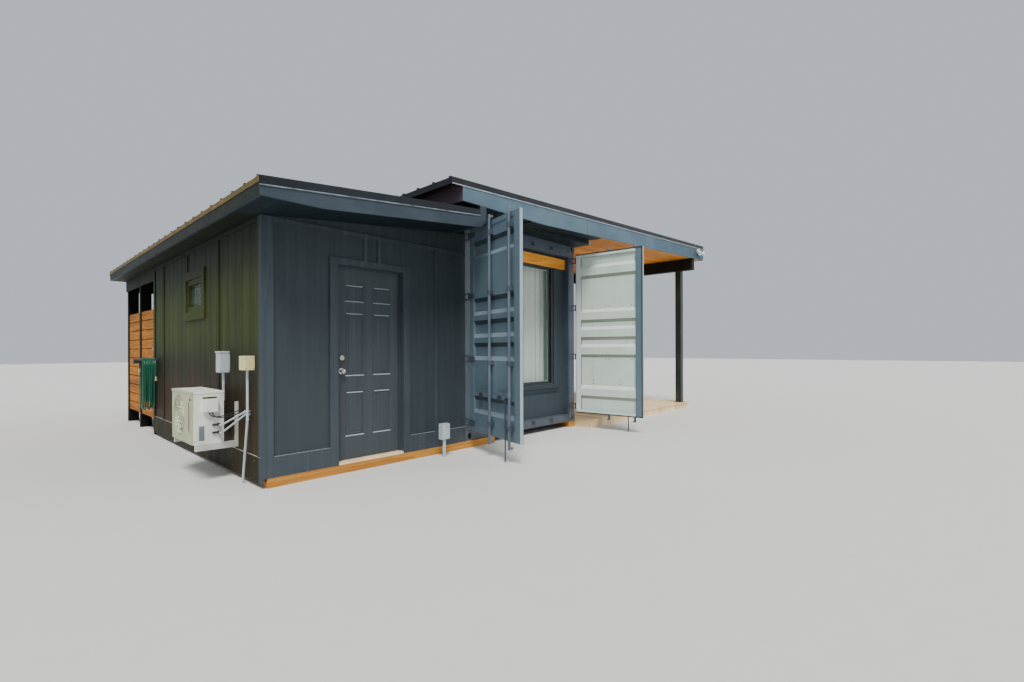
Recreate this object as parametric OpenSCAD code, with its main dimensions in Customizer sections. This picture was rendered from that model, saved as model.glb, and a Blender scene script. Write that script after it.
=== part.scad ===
// Shipping container cabin: a cargo container with its doors held open before a
// glazed wall, a timber annex beside it, a slatted enclosure behind the annex and
// a porch under a second roof. The origin is on the ground, straight below the
// container's front left corner. +X runs along the front, +Y into the depth.

/* [Container] */
// Outside width of the container
con_w = 2438; // [2300:1:2600]
// Outside length of the container
con_len = 6058; // [4500:1:9000]
// Outside height of the container
con_h = 2896; // [2700:1:3000]
// Depth of the front end frame
frame_d = 220; // [180:1:260]
// Width of a corner casting
cast_w = 162; // [140:1:180]
// Length of a corner casting
cast_l = 178; // [150:1:200]
// Height of a corner casting
cast_h = 118; // [100:1:130]
// Height of the sill under the cargo doors
sill_h = 120; // [90:1:140]
// Height of the header over the cargo doors
header_h = 195; // [150:1:230]
// Height of a bottom side rail
rail_h = 150; // [120:1:170]
// Thickness of a side rail
rail_t = 48; // [40:1:60]
// Height of a top rail
top_rail_h = 60; // [50:1:80]
// How far rails stand back from the castings
rail_in = 6; // [3:1:10]
// Depth of the wall corrugation
corr_d = 36; // [20:1:45]
// Length of one corrugation
corr_pitch = 278; // [200:1:400]
// Thickness of the wall lining behind the corrugation
lining_t = 52; // [30:1:90]
// Thickness of the floor boards
floor_t = 28; // [18:1:40]
// Height of a floor beam
beam_web = 115; // [80:1:125]
// Spacing of the floor beams
beam_step = 430; // [300:1:800]

/* [Cargo doors] */
// Distance of a hinge pin from the container's side
pin_in = 36; // [30:1:50]
// Radius of a hinge pin
pin_r = 9; // [7:1:11]
// Running clearance round pins and bars
run_gap = 1; // [0.5:0.1:1.5]
// Free space between moving and fixed pieces
move_gap = 8; // [6:1:10]
// How far a leaf reaches up over the header
leaf_lap = 38; // [25:1:50]
// Height of a leaf's lower edge above the container's base
leaf_lift = 151; // [140:1:160]
// Thickness of a door leaf
leaf_t = 40; // [34:1:41]
// Width of a leaf's hinge stile
stile_w = 97; // [50:1:110]
// Width of a leaf's free stile
free_w = 115; // [50:1:140]
// Height of a leaf's rail
leaf_rail = 60; // [40:1:90]
// Gap between the closed leaves
leaf_gap = 12; // [10:1:20]
// Thickness of the pressed door sheet
sheet_t = 5; // [3:1:6]
// Depth of a pressed band
band_d = 25; // [15:1:26]
// Height of a pressed band
band_h = 215; // [160:1:240]
// Height of the lowest band above the leaf's lower edge
band_low = 240; // [120:1:280]
// Distance of the highest band's lower edge from the leaf's top
band_high = 408; // [300:1:440]
// Height of a band's sloping side
band_ramp = 50; // [30:1:70]
// Spacing of the three middle bands
band_step = 280; // [250:1:320]
// Opening angle of the left leaf as it stands
open_left = 104.3; // [90:0.1:104.5]
// Opening angle of the right leaf as it stands
open_right = 94.9; // [80:0.1:130]
// Radius of a lock bar
bar_r = 17; // [13:1:20]
// Distance of a lock bar's axis from the leaf
bar_out = 40; // [36:1:50]
// Place of the first lock bar, measured from the hinge
bar_one = 582; // [420:1:640]
// Distance of the second lock bar from the free stile
bar_edge = 45; // [40:1:120]
// Height of the lock handles above the leaf's lower edge
handle_z = 525; // [450:1:620]
// Length of a lock handle
handle_l = 300; // [200:1:330]
// Radius of a drop bolt
bolt_r = 8; // [6:1:10]
// Distance of the drop bolt from the second lock bar
bolt_in = 105; // [80:1:200]

/* [Glazed wall] */
// Distance of the glazed wall behind the container's face
infill_y = 120; // [90:1:140]
// Thickness of the glazed wall
infill_t = 100; // [60:1:150]
// Width of the large window
win_w = 1580; // [1200:1:1700]
// Height of the large window
win_h = 1870; // [1400:1:1950]
// Width of the window frame's upright faces
win_face = 60; // [40:1:80]
// Width of the window frame's level faces
win_face_low = 22; // [15:1:60]
// Width of the sash's upright faces
sash_face = 58; // [40:1:80]
// Width of the sash's level faces
sash_face_low = 28; // [20:1:60]
// Depth of the window frame
win_d = 80; // [50:1:95]
// Thickness of the glass
glass_t = 20; // [6:1:28]
// Height of the cedar board over the window
cedar_h = 160; // [100:1:180]
// Distance of the cedar board's top below the container's header
cedar_drop = 38; // [0:1:60]
// Width of the boards round the window
win_trim = 115; // [60:1:130]
// Thickness of the cedar board
cedar_t = 38; // [20:1:60]
// Thickness of the hanging curtain's folds
curtain_t = 70; // [50:1:90]
// Width of the drawn curtain
curtain_w = 620; // [400:1:700]

/* [Annex] */
// Width of the annex beside the container
ann_w = 2476; // [2100:1:3000]
// Length of the closed room of the annex
ann_len = 4267; // [3600:1:5000]
// Thickness of an annex wall
wall_t = 115; // [90:1:160]
// Thickness of the annex floor
deck_t = 18; // [12:1:24]
// Height of the timbers that the cabin rests on
timber_h = 89; // [70:1:140]
// Depth of the front timber
timber_d = 110; // [80:1:140]
// How far the front timber shows before the wall
timber_out = 22; // [5:1:60]
// Length of the front timber
timber_l = 2970; // [2600:1:3100]
// Width of a skid
skid_w = 89; // [70:1:140]
// Thickness of the trim boards
trim_t = 19; // [12:1:25]
// Width of a corner board
corner_w = 90; // [60:1:140]
// Height of the base boards above the floor timbers
base_h = 195; // [120:1:240]
// How far the side base board reaches below the walls
base_drop = 47; // [10:1:60]
// Width of a batten
batten_w = 40; // [25:1:60]
// Spacing of the side battens
batten_step = 1219; // [900:1:1300]
// Distance of the rear batten from the annex's back corner
batten_in = 610; // [520:1:800]
// Height of the frieze board
frieze_h = 46; // [20:1:140]

/* [Annex door] */
// Width of the door leaf
door_w = 769; // [700:1:920]
// Height of the door leaf
door_h = 2032; // [1950:1:2080]
// Thickness of the door leaf
door_t = 44; // [35:1:50]
// Distance of the door leaf from the annex's left side
door_x = 742; // [500:1:800]
// Gap round the door leaf
door_gap = 7; // [7:1:9]
// Free space between the door leaf and its stops
stop_gap = 5; // [5:1:8]
// Thickness of a door jamb
jamb_t = 20; // [15:1:30]
// Width of the door casing
casing_w = 90; // [60:1:110]
// Height of the head casing
casing_h = 66; // [50:1:90]
// Width of a door stile
door_stile = 105; // [80:1:130]
// Depth of the pressed door panels
panel_d = 7; // [4:1:10]
// Radius of the door knob
knob_r = 27; // [22:1:32]

/* [Side window] */
// Distance of the side window's middle from the front
side_y = 2120; // [1700:1:2300]
// Height of the side window's middle above the ground
side_z = 1947; // [1600:1:2050]
// Width of the side window
side_w = 650; // [400:1:800]
// Height of the side window
side_h = 400; // [300:1:500]
// Width of the side window's casing
side_casing = 100; // [60:1:110]
// Width of the side window's frame
side_face = 65; // [40:1:75]

/* [Enclosure] */
// Length of the slatted enclosure
enc_len = 2133; // [1500:1:2600]
// Width of an enclosure post
enc_post = 90; // [70:1:120]
// Depth of an enclosure post behind the slats
enc_post_d = 150; // [90:1:200]
// Height of the open band above the slats
enc_open = 420; // [200:1:600]
// Height of the board over the open band
enc_board = 190; // [120:1:240]
// Height of a slat
slat_h = 142; // [90:1:180]
// Gap between slats
slat_gap = 12; // [5:1:30]
// Thickness of a slat
slat_t = 20; // [15:1:30]
// Height of the lowest slat above the ground
slat_low = 232; // [100:1:300]

/* [Annex roof] */
// Drop of the annex roof below the container's top, where they meet
ann_drop = 24; // [22:1:120]
// Rise of the annex roof over each metre
ann_rise = 98; // [60:1:120]
// Overhang of the annex roof on its left
ann_side = 240; // [150:1:400]
// Overhang of both roofs at the front
front_over = 600; // [400:1:650]
// Overhang of both roofs at the back
back_over = 260; // [100:1:400]
// How far the annex overhang stops short of the container
ann_short = 186; // [180:1:300]
// Width of the raised block at the annex fascia's right end
ann_block = 100; // [60:1:140]
// Thickness of the annex roof frame
ann_frame = 165; // [140:1:200]
// Depth of the annex fascia below the roof's top
ann_fascia = 225; // [200:1:260]
// Depth of the annex roof's edge at the low eave
ann_eave = 173; // [140:1:190]
// Thickness of the fascia boards
fascia_t = 25; // [19:1:38]
// Height of the roof trim
rake_h = 90; // [60:1:120]
// Thickness of the roof sheet
roof_t = 6; // [4:1:10]
// Height of a roof rib
rib_h = 19; // [10:1:30]
// Spacing of the roof ribs
rib_step = 305; // [200:1:600]

/* [Main roof] */
// Thickness of the main roof over the container's left edge
main_t = 223; // [180:1:300]
// Rise of the main roof over each metre
main_rise = 45.6; // [20:0.1:90]
// Overhang of the main roof on its left
main_left = 716; // [500:1:900]
// How far the main fascia stands back from the roof's left edge
main_back = 160; // [60:1:250]
// Depth of the main fascia below the roof's top
main_fascia = 320; // [280:1:360]
// How far the porch ceiling lies above the fascia's lower edge
ceil_up = 15; // [5:1:40]
// How far the level fascia hangs below the container's top
main_hang = 23; // [10:1:40]
// How far the front soffit reaches before the container
soffit_d = 310; // [200:1:500]
// Thickness of the soffit boards
soffit_t = 12; // [9:1:20]
// Thickness of the ceiling boards
ceil_t = 18; // [12:1:25]

/* [Porch] */
// Distance of the porch posts from the container
porch_post_x = 3498; // [2500:1:4500]
// Overhang of the main roof past the posts
porch_over = 488; // [300:1:900]
// Width of a porch post
post_s = 120; // [90:1:180]
// Height of the porch beam
porch_beam_h = 250; // [150:1:300]
// Height of the porch deck
porch_h = 130; // [80:1:150]
// How far the deck reaches past the posts
deck_over = 254; // [20:1:300]
// How far the deck stands before the container
deck_front = 340; // [150:1:450]
// Thickness of the deck boards
board_t = 25; // [20:1:40]

/* [Services] */
// Width of the air conditioner
ac_w = 735; // [600:1:900]
// Depth of the air conditioner
ac_d = 270; // [200:1:320]
// Height of the air conditioner
ac_h = 500; // [400:1:600]
// Height of the air conditioner above the ground
ac_z = 372; // [200:1:500]
// Distance of the air conditioner from the front
ac_y = 650; // [550:1:900]
// Space between the air conditioner and the wall
ac_gap = 130; // [80:1:160]
// Radius of a conduit
pipe_r = 14; // [8:1:20]
// Radius of the garden hose
hose_r = 9; // [6:1:12]
// Height of the hose hanger above the ground
hose_z = 1118; // [900:1:1400]
// Distance of the hose hanger from the annex's back corner
hose_in = 157; // [150:1:460]
// How far the hanging hose loops reach along their hanger
hose_out = 230; // [120:1:260]
// Width of the hanging hose loops
hose_w = 260; // [180:1:300]
// Height of the hanging hose loops
hose_h = 790; // [500:1:850]

/* [Hidden] */
$fn = 40;
eps = 0.5;
// Room under a sloping face that rests on another
seat = 0.05;

// Heights that everything else is worked out from
con_z = timber_h;
con_top = con_z + con_h;
slope_main = main_rise / 1000;
slope_ann = ann_rise / 1000;
ann_left = -ann_w;
eave_x = ann_left - ann_side;
main_x0 = -main_left;
main_x1 = con_w + porch_post_x + porch_over;
fascia_x0 = main_x0 + main_back;
enc_end = ann_len + enc_len;
roof_y1 = con_len + back_over;
enc_roof_y1 = enc_end + trim_t + 30;
side_gap = 6;

function main_top(x) = con_top + main_t + slope_main * (x - main_x0);
function main_under(x) = main_top(x) - main_fascia + ceil_up;
function ann_top(x) = con_top - ann_drop + slope_ann * x;
function ann_sheet(x) = ann_top(x) - rib_h;
function main_sheet(x) = main_top(x) - rib_h;
// Where the porch ceiling's slope meets the container's top
ceil_x0 = main_x0 + (main_fascia - main_t - ceil_up - ceil_t) / slope_main;
ann_level = ann_top(eave_x) - ann_eave;
function ann_under(x) = max(ann_level, ann_sheet(x) - roof_t - ann_frame);

// Container rooms and heights
floor_top = con_z + rail_in + rail_h;
sill_top = con_z + sill_h;
header_z = con_top - header_h;
wall_in = rail_in + corr_d + lining_t;
infill_back = infill_y + infill_t;
leaf_z = con_z + leaf_lift;
leaf_top = header_z + leaf_lap;
leaf_h = leaf_top - leaf_z;

// A leaf is drawn closed, from its hinge pin, along +X with its outer face at -Y
leaf_edge = pin_r + run_gap + 6 + move_gap - 2;
leaf_end = con_w / 2 - pin_in - leaf_gap / 2;
leaf_face = -2;
sheet_face = 4;
bar_two = leaf_end - free_w - bar_edge;
pin_out = norm([leaf_edge, leaf_face + leaf_t]) + move_gap - 2;
lug_r = pin_r + 5;
barrel_r = pin_r + run_gap + 6;
hinge_zs = [for (f = [0.04, 0.355, 0.665, 0.965]) leaf_z + f * leaf_h];
hinge_h = 60;
lug_t = 14;
blade_l = 150;
blade_t = 8;
bar_low = leaf_z - 85;
bar_high = leaf_top + 55;
cam_t = 24;
cam_reach = bar_out + 6;
guide_zs = [for (f = [0.06, 0.34, 0.665, 0.94]) leaf_z + f * leaf_h];
guide_h = 50;
guide_w = 74;
bolt_s = bar_two - bolt_in;
bolt_out = 22;
bolt_low = 6;
bolt_up = 480;

// Thickness of the annex fascia's raised end block
block_d = 18;

// Annex room
ann_floor = con_z + deck_t;
door_x0 = ann_left + door_x;
door_x1 = door_x0 + door_w;
door_z0 = ann_floor + 13;
door_z1 = door_z0 + door_h;
hole_x0 = door_x0 - door_gap - jamb_t;
hole_x1 = door_x1 + door_gap + jamb_t;
hole_z1 = door_z1 + door_gap + jamb_t;
door_back = wall_t - 4;
door_pin_y = door_back + 12;
door_pin_x = door_x1 + 2.5;

module block(lo, hi) {
    translate(lo) cube(hi - lo);
}

// Extrudes an outline given in X and Z along Y
module along_y(points, y0, y1) {
    translate([0, y1, 0]) rotate([90, 0, 0]) linear_extrude(y1 - y0) polygon(points);
}

// Extrudes an outline given in Y and Z along X
module along_x(points, x0, x1) {
    translate([x0, 0, 0]) rotate([90, 0, 90]) linear_extrude(x1 - x0) polygon(points);
}

// Points of a pressed trapezoid wave of a given length, from the start to the end
function wave(len, depth, pitch) =
    let (n = max(1, round(len / pitch)), p = len / n)
    [for (i = [0:n - 1]) each [
        [i * p + 0.06 * p, 0],
        [i * p + 0.32 * p, 0],
        [i * p + 0.56 * p, depth],
        [i * p + 0.82 * p, depth]
    ]];

// A corrugated sheet with a flat lining, along +X, outer face at Y = 0, height z0 to z1
module corrugated_wall(len, z0, z1, thick) {
    outline = concat(
        [[0, thick], [0, corr_d]],
        wave(len, -corr_d, corr_pitch) + [for (p = wave(len, 0, corr_pitch)) [0, corr_d]],
        [[len, corr_d], [len, thick]]
    );
    translate([0, 0, z0]) linear_extrude(z1 - z0) polygon(outline);
}

// A slot with round ends, through Z, centred
module slot_hole(len, wide, deep) {
    linear_extrude(deep) union() {
        square([len - wide, wide], center = true);
        for (s = [-1, 1]) translate([s * (len - wide) / 2, 0]) circle(d = wide);
    }
}

// A corner casting with its lifting holes, in the corner where X, Y and Z are positive
module casting(up) {
    wall = 26;
    difference() {
        cube([cast_w, cast_l, cast_h]);
        translate([wall, wall, wall]) cube([cast_w - 2 * wall, cast_l - 2 * wall, cast_h - 2 * wall]);
        translate([cast_w / 2, -1, cast_h / 2]) rotate([-90, 90, 0]) slot_hole(79, 51, wall + 2);
        translate([-1, cast_l / 2, cast_h / 2]) rotate([0, 90, 0]) rotate([0, 0, 90])
            slot_hole(79, 51, wall + 2);
        translate([cast_w / 2, cast_l / 2, up ? cast_h - wall - 1 : -1]) rotate([0, 0, 90])
            slot_hole(110, 63, wall + 2);
    }
}

// One corner of the container: a post between two castings
module corner_post() {
    translate([0, 0, con_z]) casting(false);
    translate([0, 0, con_top - cast_h]) casting(true);
    block([rail_in, rail_in, con_z + cast_h], [cast_w, cast_l, con_top - cast_h]);
}

module container_posts() {
    color("slategray") {
        corner_post();
        translate([con_w, 0, 0]) mirror([1, 0, 0]) corner_post();
        translate([0, con_len, 0]) mirror([0, 1, 0]) corner_post();
        translate([con_w, con_len, 0]) mirror([1, 0, 0]) mirror([0, 1, 0]) corner_post();
    }
}

// A block that takes a lock bar's end on the sill or the header
module keeper(x, z) {
    keeper_w = 56;
    keeper_h = 46;
    keeper_out = 24;
    translate([x, 0, z]) difference() {
        block([-keeper_w / 2, -keeper_out + rail_in, -keeper_h / 2], [keeper_w / 2, rail_in, keeper_h / 2]);
        block([-keeper_w / 6, -keeper_out, -keeper_h], [keeper_w / 6, 0, keeper_h]);
    }
}

// Fillers between a front post and the rest of the end frame, low and high
module frame_returns() {
    for (z = [[con_z + rail_in, sill_top], [con_top - top_rail_h, con_top - rail_in]])
        block([rail_in + rail_t, cast_l, z[0]], [cast_w + eps, frame_d, z[1]]);
}

module container_end_rails() {
    bars = [pin_in + bar_one, pin_in + bar_two];
    color("slategray") {
        difference() {
            block([cast_w, rail_in, con_z + rail_in], [con_w - cast_w, frame_d, sill_top]);
            block([cast_w - 1, rail_in + 40, con_z], [con_w - cast_w + 1, frame_d - 20, sill_top - 12]);
        }
        block([cast_w, rail_in, header_z], [con_w - cast_w, frame_d, con_top - rail_in]);
        frame_returns();
        translate([con_w, 0, 0]) mirror([1, 0, 0]) frame_returns();
        for (x = [for (b = bars) each [b, con_w - b]]) {
            keeper(x, bar_low + cam_t / 2 + 5);
            keeper(x, bar_high - cam_t / 2 - 5);
        }
        for (z = [[con_z + rail_in, floor_top], [con_top - top_rail_h, con_top - rail_in]])
            block([cast_w, con_len - cast_l, z[0]], [con_w - cast_w, con_len - rail_in, z[1]]);
    }
}

module side_rail_pair() {
    block([rail_in, cast_l, con_z + rail_in], [rail_in + rail_t, con_len - cast_l, floor_top]);
    block([rail_in, cast_l, con_top - top_rail_h], [rail_in + rail_t, con_len - cast_l, con_top - rail_in]);
}

module container_side_rails() {
    color("slategray") {
        side_rail_pair();
        translate([con_w, 0, 0]) mirror([1, 0, 0]) side_rail_pair();
    }
}

module side_wall() {
    translate([rail_in, con_len - cast_l, 0]) rotate([0, 0, -90])
        corrugated_wall(con_len - 2 * cast_l, floor_top, con_top - top_rail_h, wall_in - rail_in);
}

module container_left_wall() {
    color("slategray") side_wall();
}

module container_right_wall() {
    color("slategray") translate([con_w, 0, 0]) mirror([1, 0, 0]) side_wall();
}

module container_back_wall() {
    span = con_w - 2 * cast_w;
    color("slategray") translate([con_w - cast_w, con_len - rail_in, 0]) rotate([0, 0, 180])
        corrugated_wall(span, floor_top, con_top - top_rail_h, wall_in - rail_in);
}

module container_roof() {
    span = con_len - frame_d - cast_l;
    roof_d = 20;
    low = con_top - top_rail_h;
    high = con_top - rail_in;
    outline = concat(
        [[0, low], [0, high - roof_d]],
        [for (p = wave(span, roof_d, corr_pitch)) [p[0], high - roof_d + p[1]]],
        [[span, high - roof_d], [span, low]]
    );
    color("slategray") translate([0, frame_d, 0])
        along_x(outline, rail_in + rail_t, con_w - rail_in - rail_t);
}

module container_floor() {
    x0 = rail_in + rail_t;
    y0 = frame_d;
    y1 = con_len - cast_l;
    n = max(2, round((y1 - y0) / beam_step));
    web = 45;
    color("burlywood") {
        block([x0, y0, floor_top - floor_t], [con_w - x0, y1, floor_top]);
        for (i = [0:n - 1]) translate([0, y0 + (i + 0.5) * (y1 - y0) / n, 0])
            block([x0, -web / 2, floor_top - floor_t - beam_web],
                  [con_w - x0, web / 2, floor_top - floor_t + eps]);
    }
}

// Place and size of the large window
win_x0 = (con_w - win_w) / 2;
win_x1 = win_x0 + win_w;
cedar_z1 = header_z - cedar_drop;
win_z1 = cedar_z1 - cedar_h;
win_z0 = win_z1 - win_h;
glass_lo = [win_x0 + win_face + sash_face, win_z0 + win_face_low + sash_face_low];
glass_hi = [win_x1 - win_face - sash_face, win_z1 - win_face_low - sash_face_low];

module glazed_wall() {
    ledge_out = 22;
    ledge_h = 14;
    ledge_z = win_z0 - win_trim / 2;
    color("darkslategray") difference() {
        union() {
            block([cast_w, infill_y, sill_top], [con_w - cast_w, infill_back, header_z]);
            block([win_x0 - win_trim, infill_y - trim_t, win_z0 - win_trim],
                  [win_x1 + win_trim, infill_y + eps, win_z1]);
            block([win_x0 - win_trim, infill_y - ledge_out - trim_t, ledge_z],
                  [win_x1 + win_trim, infill_y, ledge_z + ledge_h]);
        }
        block([win_x0, 0, win_z0], [win_x1, infill_back + 1, win_z1]);
    }
}

// A rectangular ring in the XZ plane, from y0 to y1, with its upright and level faces' widths
module ring(lo, hi, face, y0, y1) {
    difference() {
        block([lo[0], y0, lo[1]], [hi[0], y1, hi[1]]);
        block([lo[0] + face[0], y0 - 1, lo[1] + face[1]], [hi[0] - face[0], y1 + 1, hi[1] - face[1]]);
    }
}

module large_window_frame() {
    color("black") {
        face = [win_face, win_face_low];
        ring([win_x0, win_z0], [win_x1, win_z1], face, infill_y - 8, infill_y + win_d);
        ring([win_x0, win_z0] + face - [eps, eps], [win_x1, win_z1] - face + [eps, eps],
             [sash_face + eps, sash_face_low + eps], infill_y + 12, infill_y + win_d - 12);
    }
}

module cedar_header() {
    color("peru") block([cast_w, infill_y - cedar_t, win_z1], [con_w - cast_w, infill_y, cedar_z1]);
}

rod_y = infill_back + 85;
rod_z = win_z1 + 90;
rod_r = 12;

module curtain_rod() {
    color("dimgray") {
        translate([win_x0 - 60, rod_y, rod_z]) rotate([0, 90, 0]) cylinder(h = win_w + 120, r = rod_r);
        for (x = [win_x0 - 30, win_x1 + 30])
            block([x - 8, infill_back, rod_z - 20], [x + 8, rod_y, rod_z + 20]);
    }
}

module curtain() {
    x1 = win_x1 - 20;
    color("white") block([x1 - curtain_w, rod_y - curtain_t / 2, floor_top + 60],
                         [x1, rod_y + curtain_t / 2, rod_z - rod_r]);
}

// Pressed bands of a leaf, each given by the height of its lower edge
function band_starts() =
    let (mid = leaf_z + leaf_h / 2 - band_h / 2)
    [leaf_z + band_low, mid - band_step, mid, mid + band_step, leaf_top - band_high];

function band_side(shift) = [
    for (b = band_starts()) each [
        [shift, b],
        [shift + band_d, b + band_ramp],
        [shift + band_d, b + band_h - band_ramp],
        [shift, b + band_h]
    ]
];

function reversed(points) = [for (i = [len(points) - 1:-1:0]) points[i]];

module door_leaf() {
    s0 = leaf_edge + stile_w;
    s1 = leaf_end - free_w;
    z0 = leaf_z + leaf_rail;
    z1 = leaf_top - leaf_rail;
    back = sheet_face + sheet_t;
    outer = concat([[sheet_face, z0]], band_side(sheet_face), [[sheet_face, z1]]);
    inner = concat([[back, z0]], band_side(back), [[back, z1]]);
    inner_face = leaf_face + leaf_t;
    block([leaf_edge, leaf_face, leaf_z], [s0, inner_face, leaf_top]);
    block([s1, leaf_face, leaf_z], [leaf_end, inner_face, leaf_top]);
    block([s0 - eps, leaf_face, leaf_z], [s1 + eps, inner_face, z0 + eps]);
    block([s0 - eps, leaf_face, z1 - eps], [s1 + eps, inner_face, leaf_top]);
    along_x(concat(outer, reversed(inner)), s0 - eps, s1 + eps);
}

// Hinge straps, bar guides, handle catches and the drop bolt of one leaf
module door_fittings() {
    for (z = hinge_zs) translate([0, 0, z - hinge_h / 2]) difference() {
        union() {
            cylinder(h = hinge_h, r = barrel_r);
            block([0, leaf_face - blade_t, 0], [blade_l, leaf_face, hinge_h]);
        }
        translate([0, 0, -1]) cylinder(h = hinge_h + 2, r = pin_r + run_gap);
    }
    for (s = [bar_one, bar_two], z = guide_zs) translate([s, 0, z - guide_h / 2]) difference() {
        union() {
            block([-guide_w / 2, leaf_face - 8, 0], [guide_w / 2, sheet_face, guide_h]);
            block([-bar_r - 8, leaf_face - bar_out, 0], [bar_r + 8, leaf_face - 8 + eps, guide_h]);
            translate([0, leaf_face - bar_out, 0]) cylinder(h = guide_h, r = bar_r + 8);
        }
        translate([0, leaf_face - bar_out, -1]) cylinder(h = guide_h + 2, r = bar_r + run_gap);
    }
    for (s = [bar_one, bar_two]) translate([s - handle_l + 30, 0, leaf_z + handle_z])
        block([-35, leaf_face - 14, -60], [35, sheet_face, -22]);
    clip_s = 16;
    for (z = [leaf_z + bolt_up / 4, leaf_z + bolt_up - 12])
        block([bolt_s - clip_s, leaf_face - bolt_out, z - 12], [bolt_s + clip_s, sheet_face, z + 12]);
    translate([bolt_s, leaf_face - bolt_out - bolt_r + 3, bolt_low])
        cylinder(h = leaf_z + bolt_up - bolt_low, r = bolt_r);
}

// A lock bar with its cams and handle, standing on its own axis
module lock_bar() {
    arm_w = 26;
    hub_h = 60;
    translate([0, 0, bar_low]) cylinder(h = bar_high - bar_low, r = bar_r);
    for (z = [bar_low + 5, bar_high - 5 - cam_t])
        block([-arm_w / 2, 0, z], [arm_w / 2, cam_reach, z + cam_t]);
    translate([0, 0, leaf_z + handle_z - hub_h / 2]) cylinder(h = hub_h, r = bar_r + 6);
    block([-handle_l, -8, leaf_z + handle_z - 18], [0, 8, leaf_z + handle_z + 18]);
}

module at_left_leaf() {
    translate([pin_in, -pin_out, 0]) rotate([0, 0, -open_left]) children();
}

module at_right_leaf() {
    translate([con_w - pin_in, -pin_out, 0]) mirror([1, 0, 0]) rotate([0, 0, -open_right]) children();
}

module at_bar(s) {
    translate([s, leaf_face - bar_out, 0]) children();
}

module left_cargo_door() {
    color("slategray") at_left_leaf() door_leaf();
}

module right_cargo_door() {
    color("ivory") at_right_leaf() door_leaf();
}

module left_door_fittings() {
    color("slategray") at_left_leaf() door_fittings();
}

module right_door_fittings() {
    color("slategray") at_right_leaf() door_fittings();
}

module left_outer_bar() {
    color("lightslategray") at_left_leaf() at_bar(bar_one) lock_bar();
}

module left_inner_bar() {
    color("lightslategray") at_left_leaf() at_bar(bar_two) lock_bar();
}

module right_outer_bar() {
    color("lightslategray") at_right_leaf() at_bar(bar_one) lock_bar();
}

module right_inner_bar() {
    color("lightslategray") at_right_leaf() at_bar(bar_two) lock_bar();
}

// A pair of lugs with their pin, round one hinge of the left leaf
module hinge_lugs() {
    for (z = hinge_zs) translate([pin_in, -pin_out, z]) {
        for (s = [-1, 1]) translate([0, 0, s * (hinge_h / 2 + run_gap + lug_t / 2) - lug_t / 2]) {
            cylinder(h = lug_t, r = lug_r);
            block([-lug_r, 0, 0], [lug_r, pin_out + rail_in, lug_t]);
        }
        translate([0, 0, -hinge_h / 2 - lug_t - 8]) cylinder(h = hinge_h + 2 * lug_t + 16, r = pin_r);
    }
}

module cargo_hinge_lugs() {
    color("slategray") {
        hinge_lugs();
        translate([con_w, 0, 0]) mirror([1, 0, 0]) hinge_lugs();
    }
}

module front_timber() {
    x0 = ann_left + 30;
    color("peru") block([x0, -timber_out, 0], [x0 + timber_l, timber_d - timber_out, timber_h]);
}

module support_timbers() {
    skids = 4;
    span = ann_w - 60 - skid_w;
    block_l = 300;
    color("sienna") {
        for (i = [0:skids - 1]) translate([ann_left + 45 + i * (span - 30) / (skids - 1), 0, 0])
            block([0, timber_d - timber_out, 0], [skid_w, ann_len, timber_h]);
        block([con_w - cast_w, 0, 0], [con_w, block_l, timber_h]);
        for (x = [0, con_w - cast_w]) block([x, con_len - block_l, 0], [x + cast_w, con_len, timber_h]);
    }
}

module annex_floor() {
    color("tan") block([ann_left + wall_t, wall_t, timber_h], [-side_gap, ann_len - wall_t, ann_floor]);
}

// A piece of an annex wall whose top follows the roof frame
module annex_panel(x0, x1, z0, y0, y1) {
    level = ann_level - seat;
    translate([0, y1, 0]) rotate([90, 0, 0]) linear_extrude(y1 - y0) union() {
        translate([x0, z0]) square([x1 - x0, level - z0]);
        polygon([[x0, level - eps], [x1, level - eps],
                 [x1, ann_under(x1) - seat], [x0, ann_under(x0) - seat]]);
    }
}

module annex_front_wall() {
    color("dimgray") {
        annex_panel(ann_left, hole_x0, timber_h, 0, wall_t);
        annex_panel(hole_x1, -side_gap, timber_h, 0, wall_t);
    }
}

module annex_wall_head() {
    color("dimgray") annex_panel(hole_x0, hole_x1, hole_z1, 0, wall_t);
}

module annex_back_wall() {
    color("dimgray") annex_panel(ann_left, -side_gap, timber_h, ann_len - wall_t, ann_len);
}

module annex_side_wall() {
    color("dimgray") difference() {
        annex_panel(ann_left, ann_left + wall_t, timber_h, wall_t, ann_len - wall_t);
        block([ann_left - 1, side_y - side_w / 2, side_z - side_h / 2],
              [ann_left + wall_t + 1, side_y + side_w / 2, side_z + side_h / 2]);
    }
}

module annex_door_frame() {
    lap = 5;
    inner0 = hole_x0 + jamb_t;
    inner1 = hole_x1 - jamb_t;
    head = hole_z1 - jamb_t;
    stop = door_back - door_t - stop_gap;
    color("black") {
        difference() {
            block([hole_x0, 0, ann_floor - deck_t], [hole_x1, wall_t, hole_z1]);
            block([inner0, -1, timber_h - 1], [inner1, wall_t + 1, head]);
        }
        difference() {
            block([inner0 - eps, stop - 14, door_z0 - door_gap], [inner1 + eps, stop, head + eps]);
            block([inner0 + 12, 0, 0], [inner1 - 12, wall_t, head - 12]);
        }
        difference() {
            block([inner0 - lap - casing_w, -trim_t, timber_h],
                  [inner1 + lap + casing_w, 0, head + lap + casing_h]);
            block([inner0 - lap, -trim_t - 1, 0], [inner1 + lap, 1, head + lap]);
        }
    }
}

module annex_threshold() {
    inner0 = hole_x0 + jamb_t;
    inner1 = hole_x1 - jamb_t;
    color("white") block([inner0, -trim_t, timber_h], [inner1, wall_t, door_z0 - door_gap]);
}

// Heights of the six panels, measured from the leaf's lower edge, as shares of its height
panel_rows = [[0.118, 0.355], [0.433, 0.768], [0.822, 0.915]];

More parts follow.
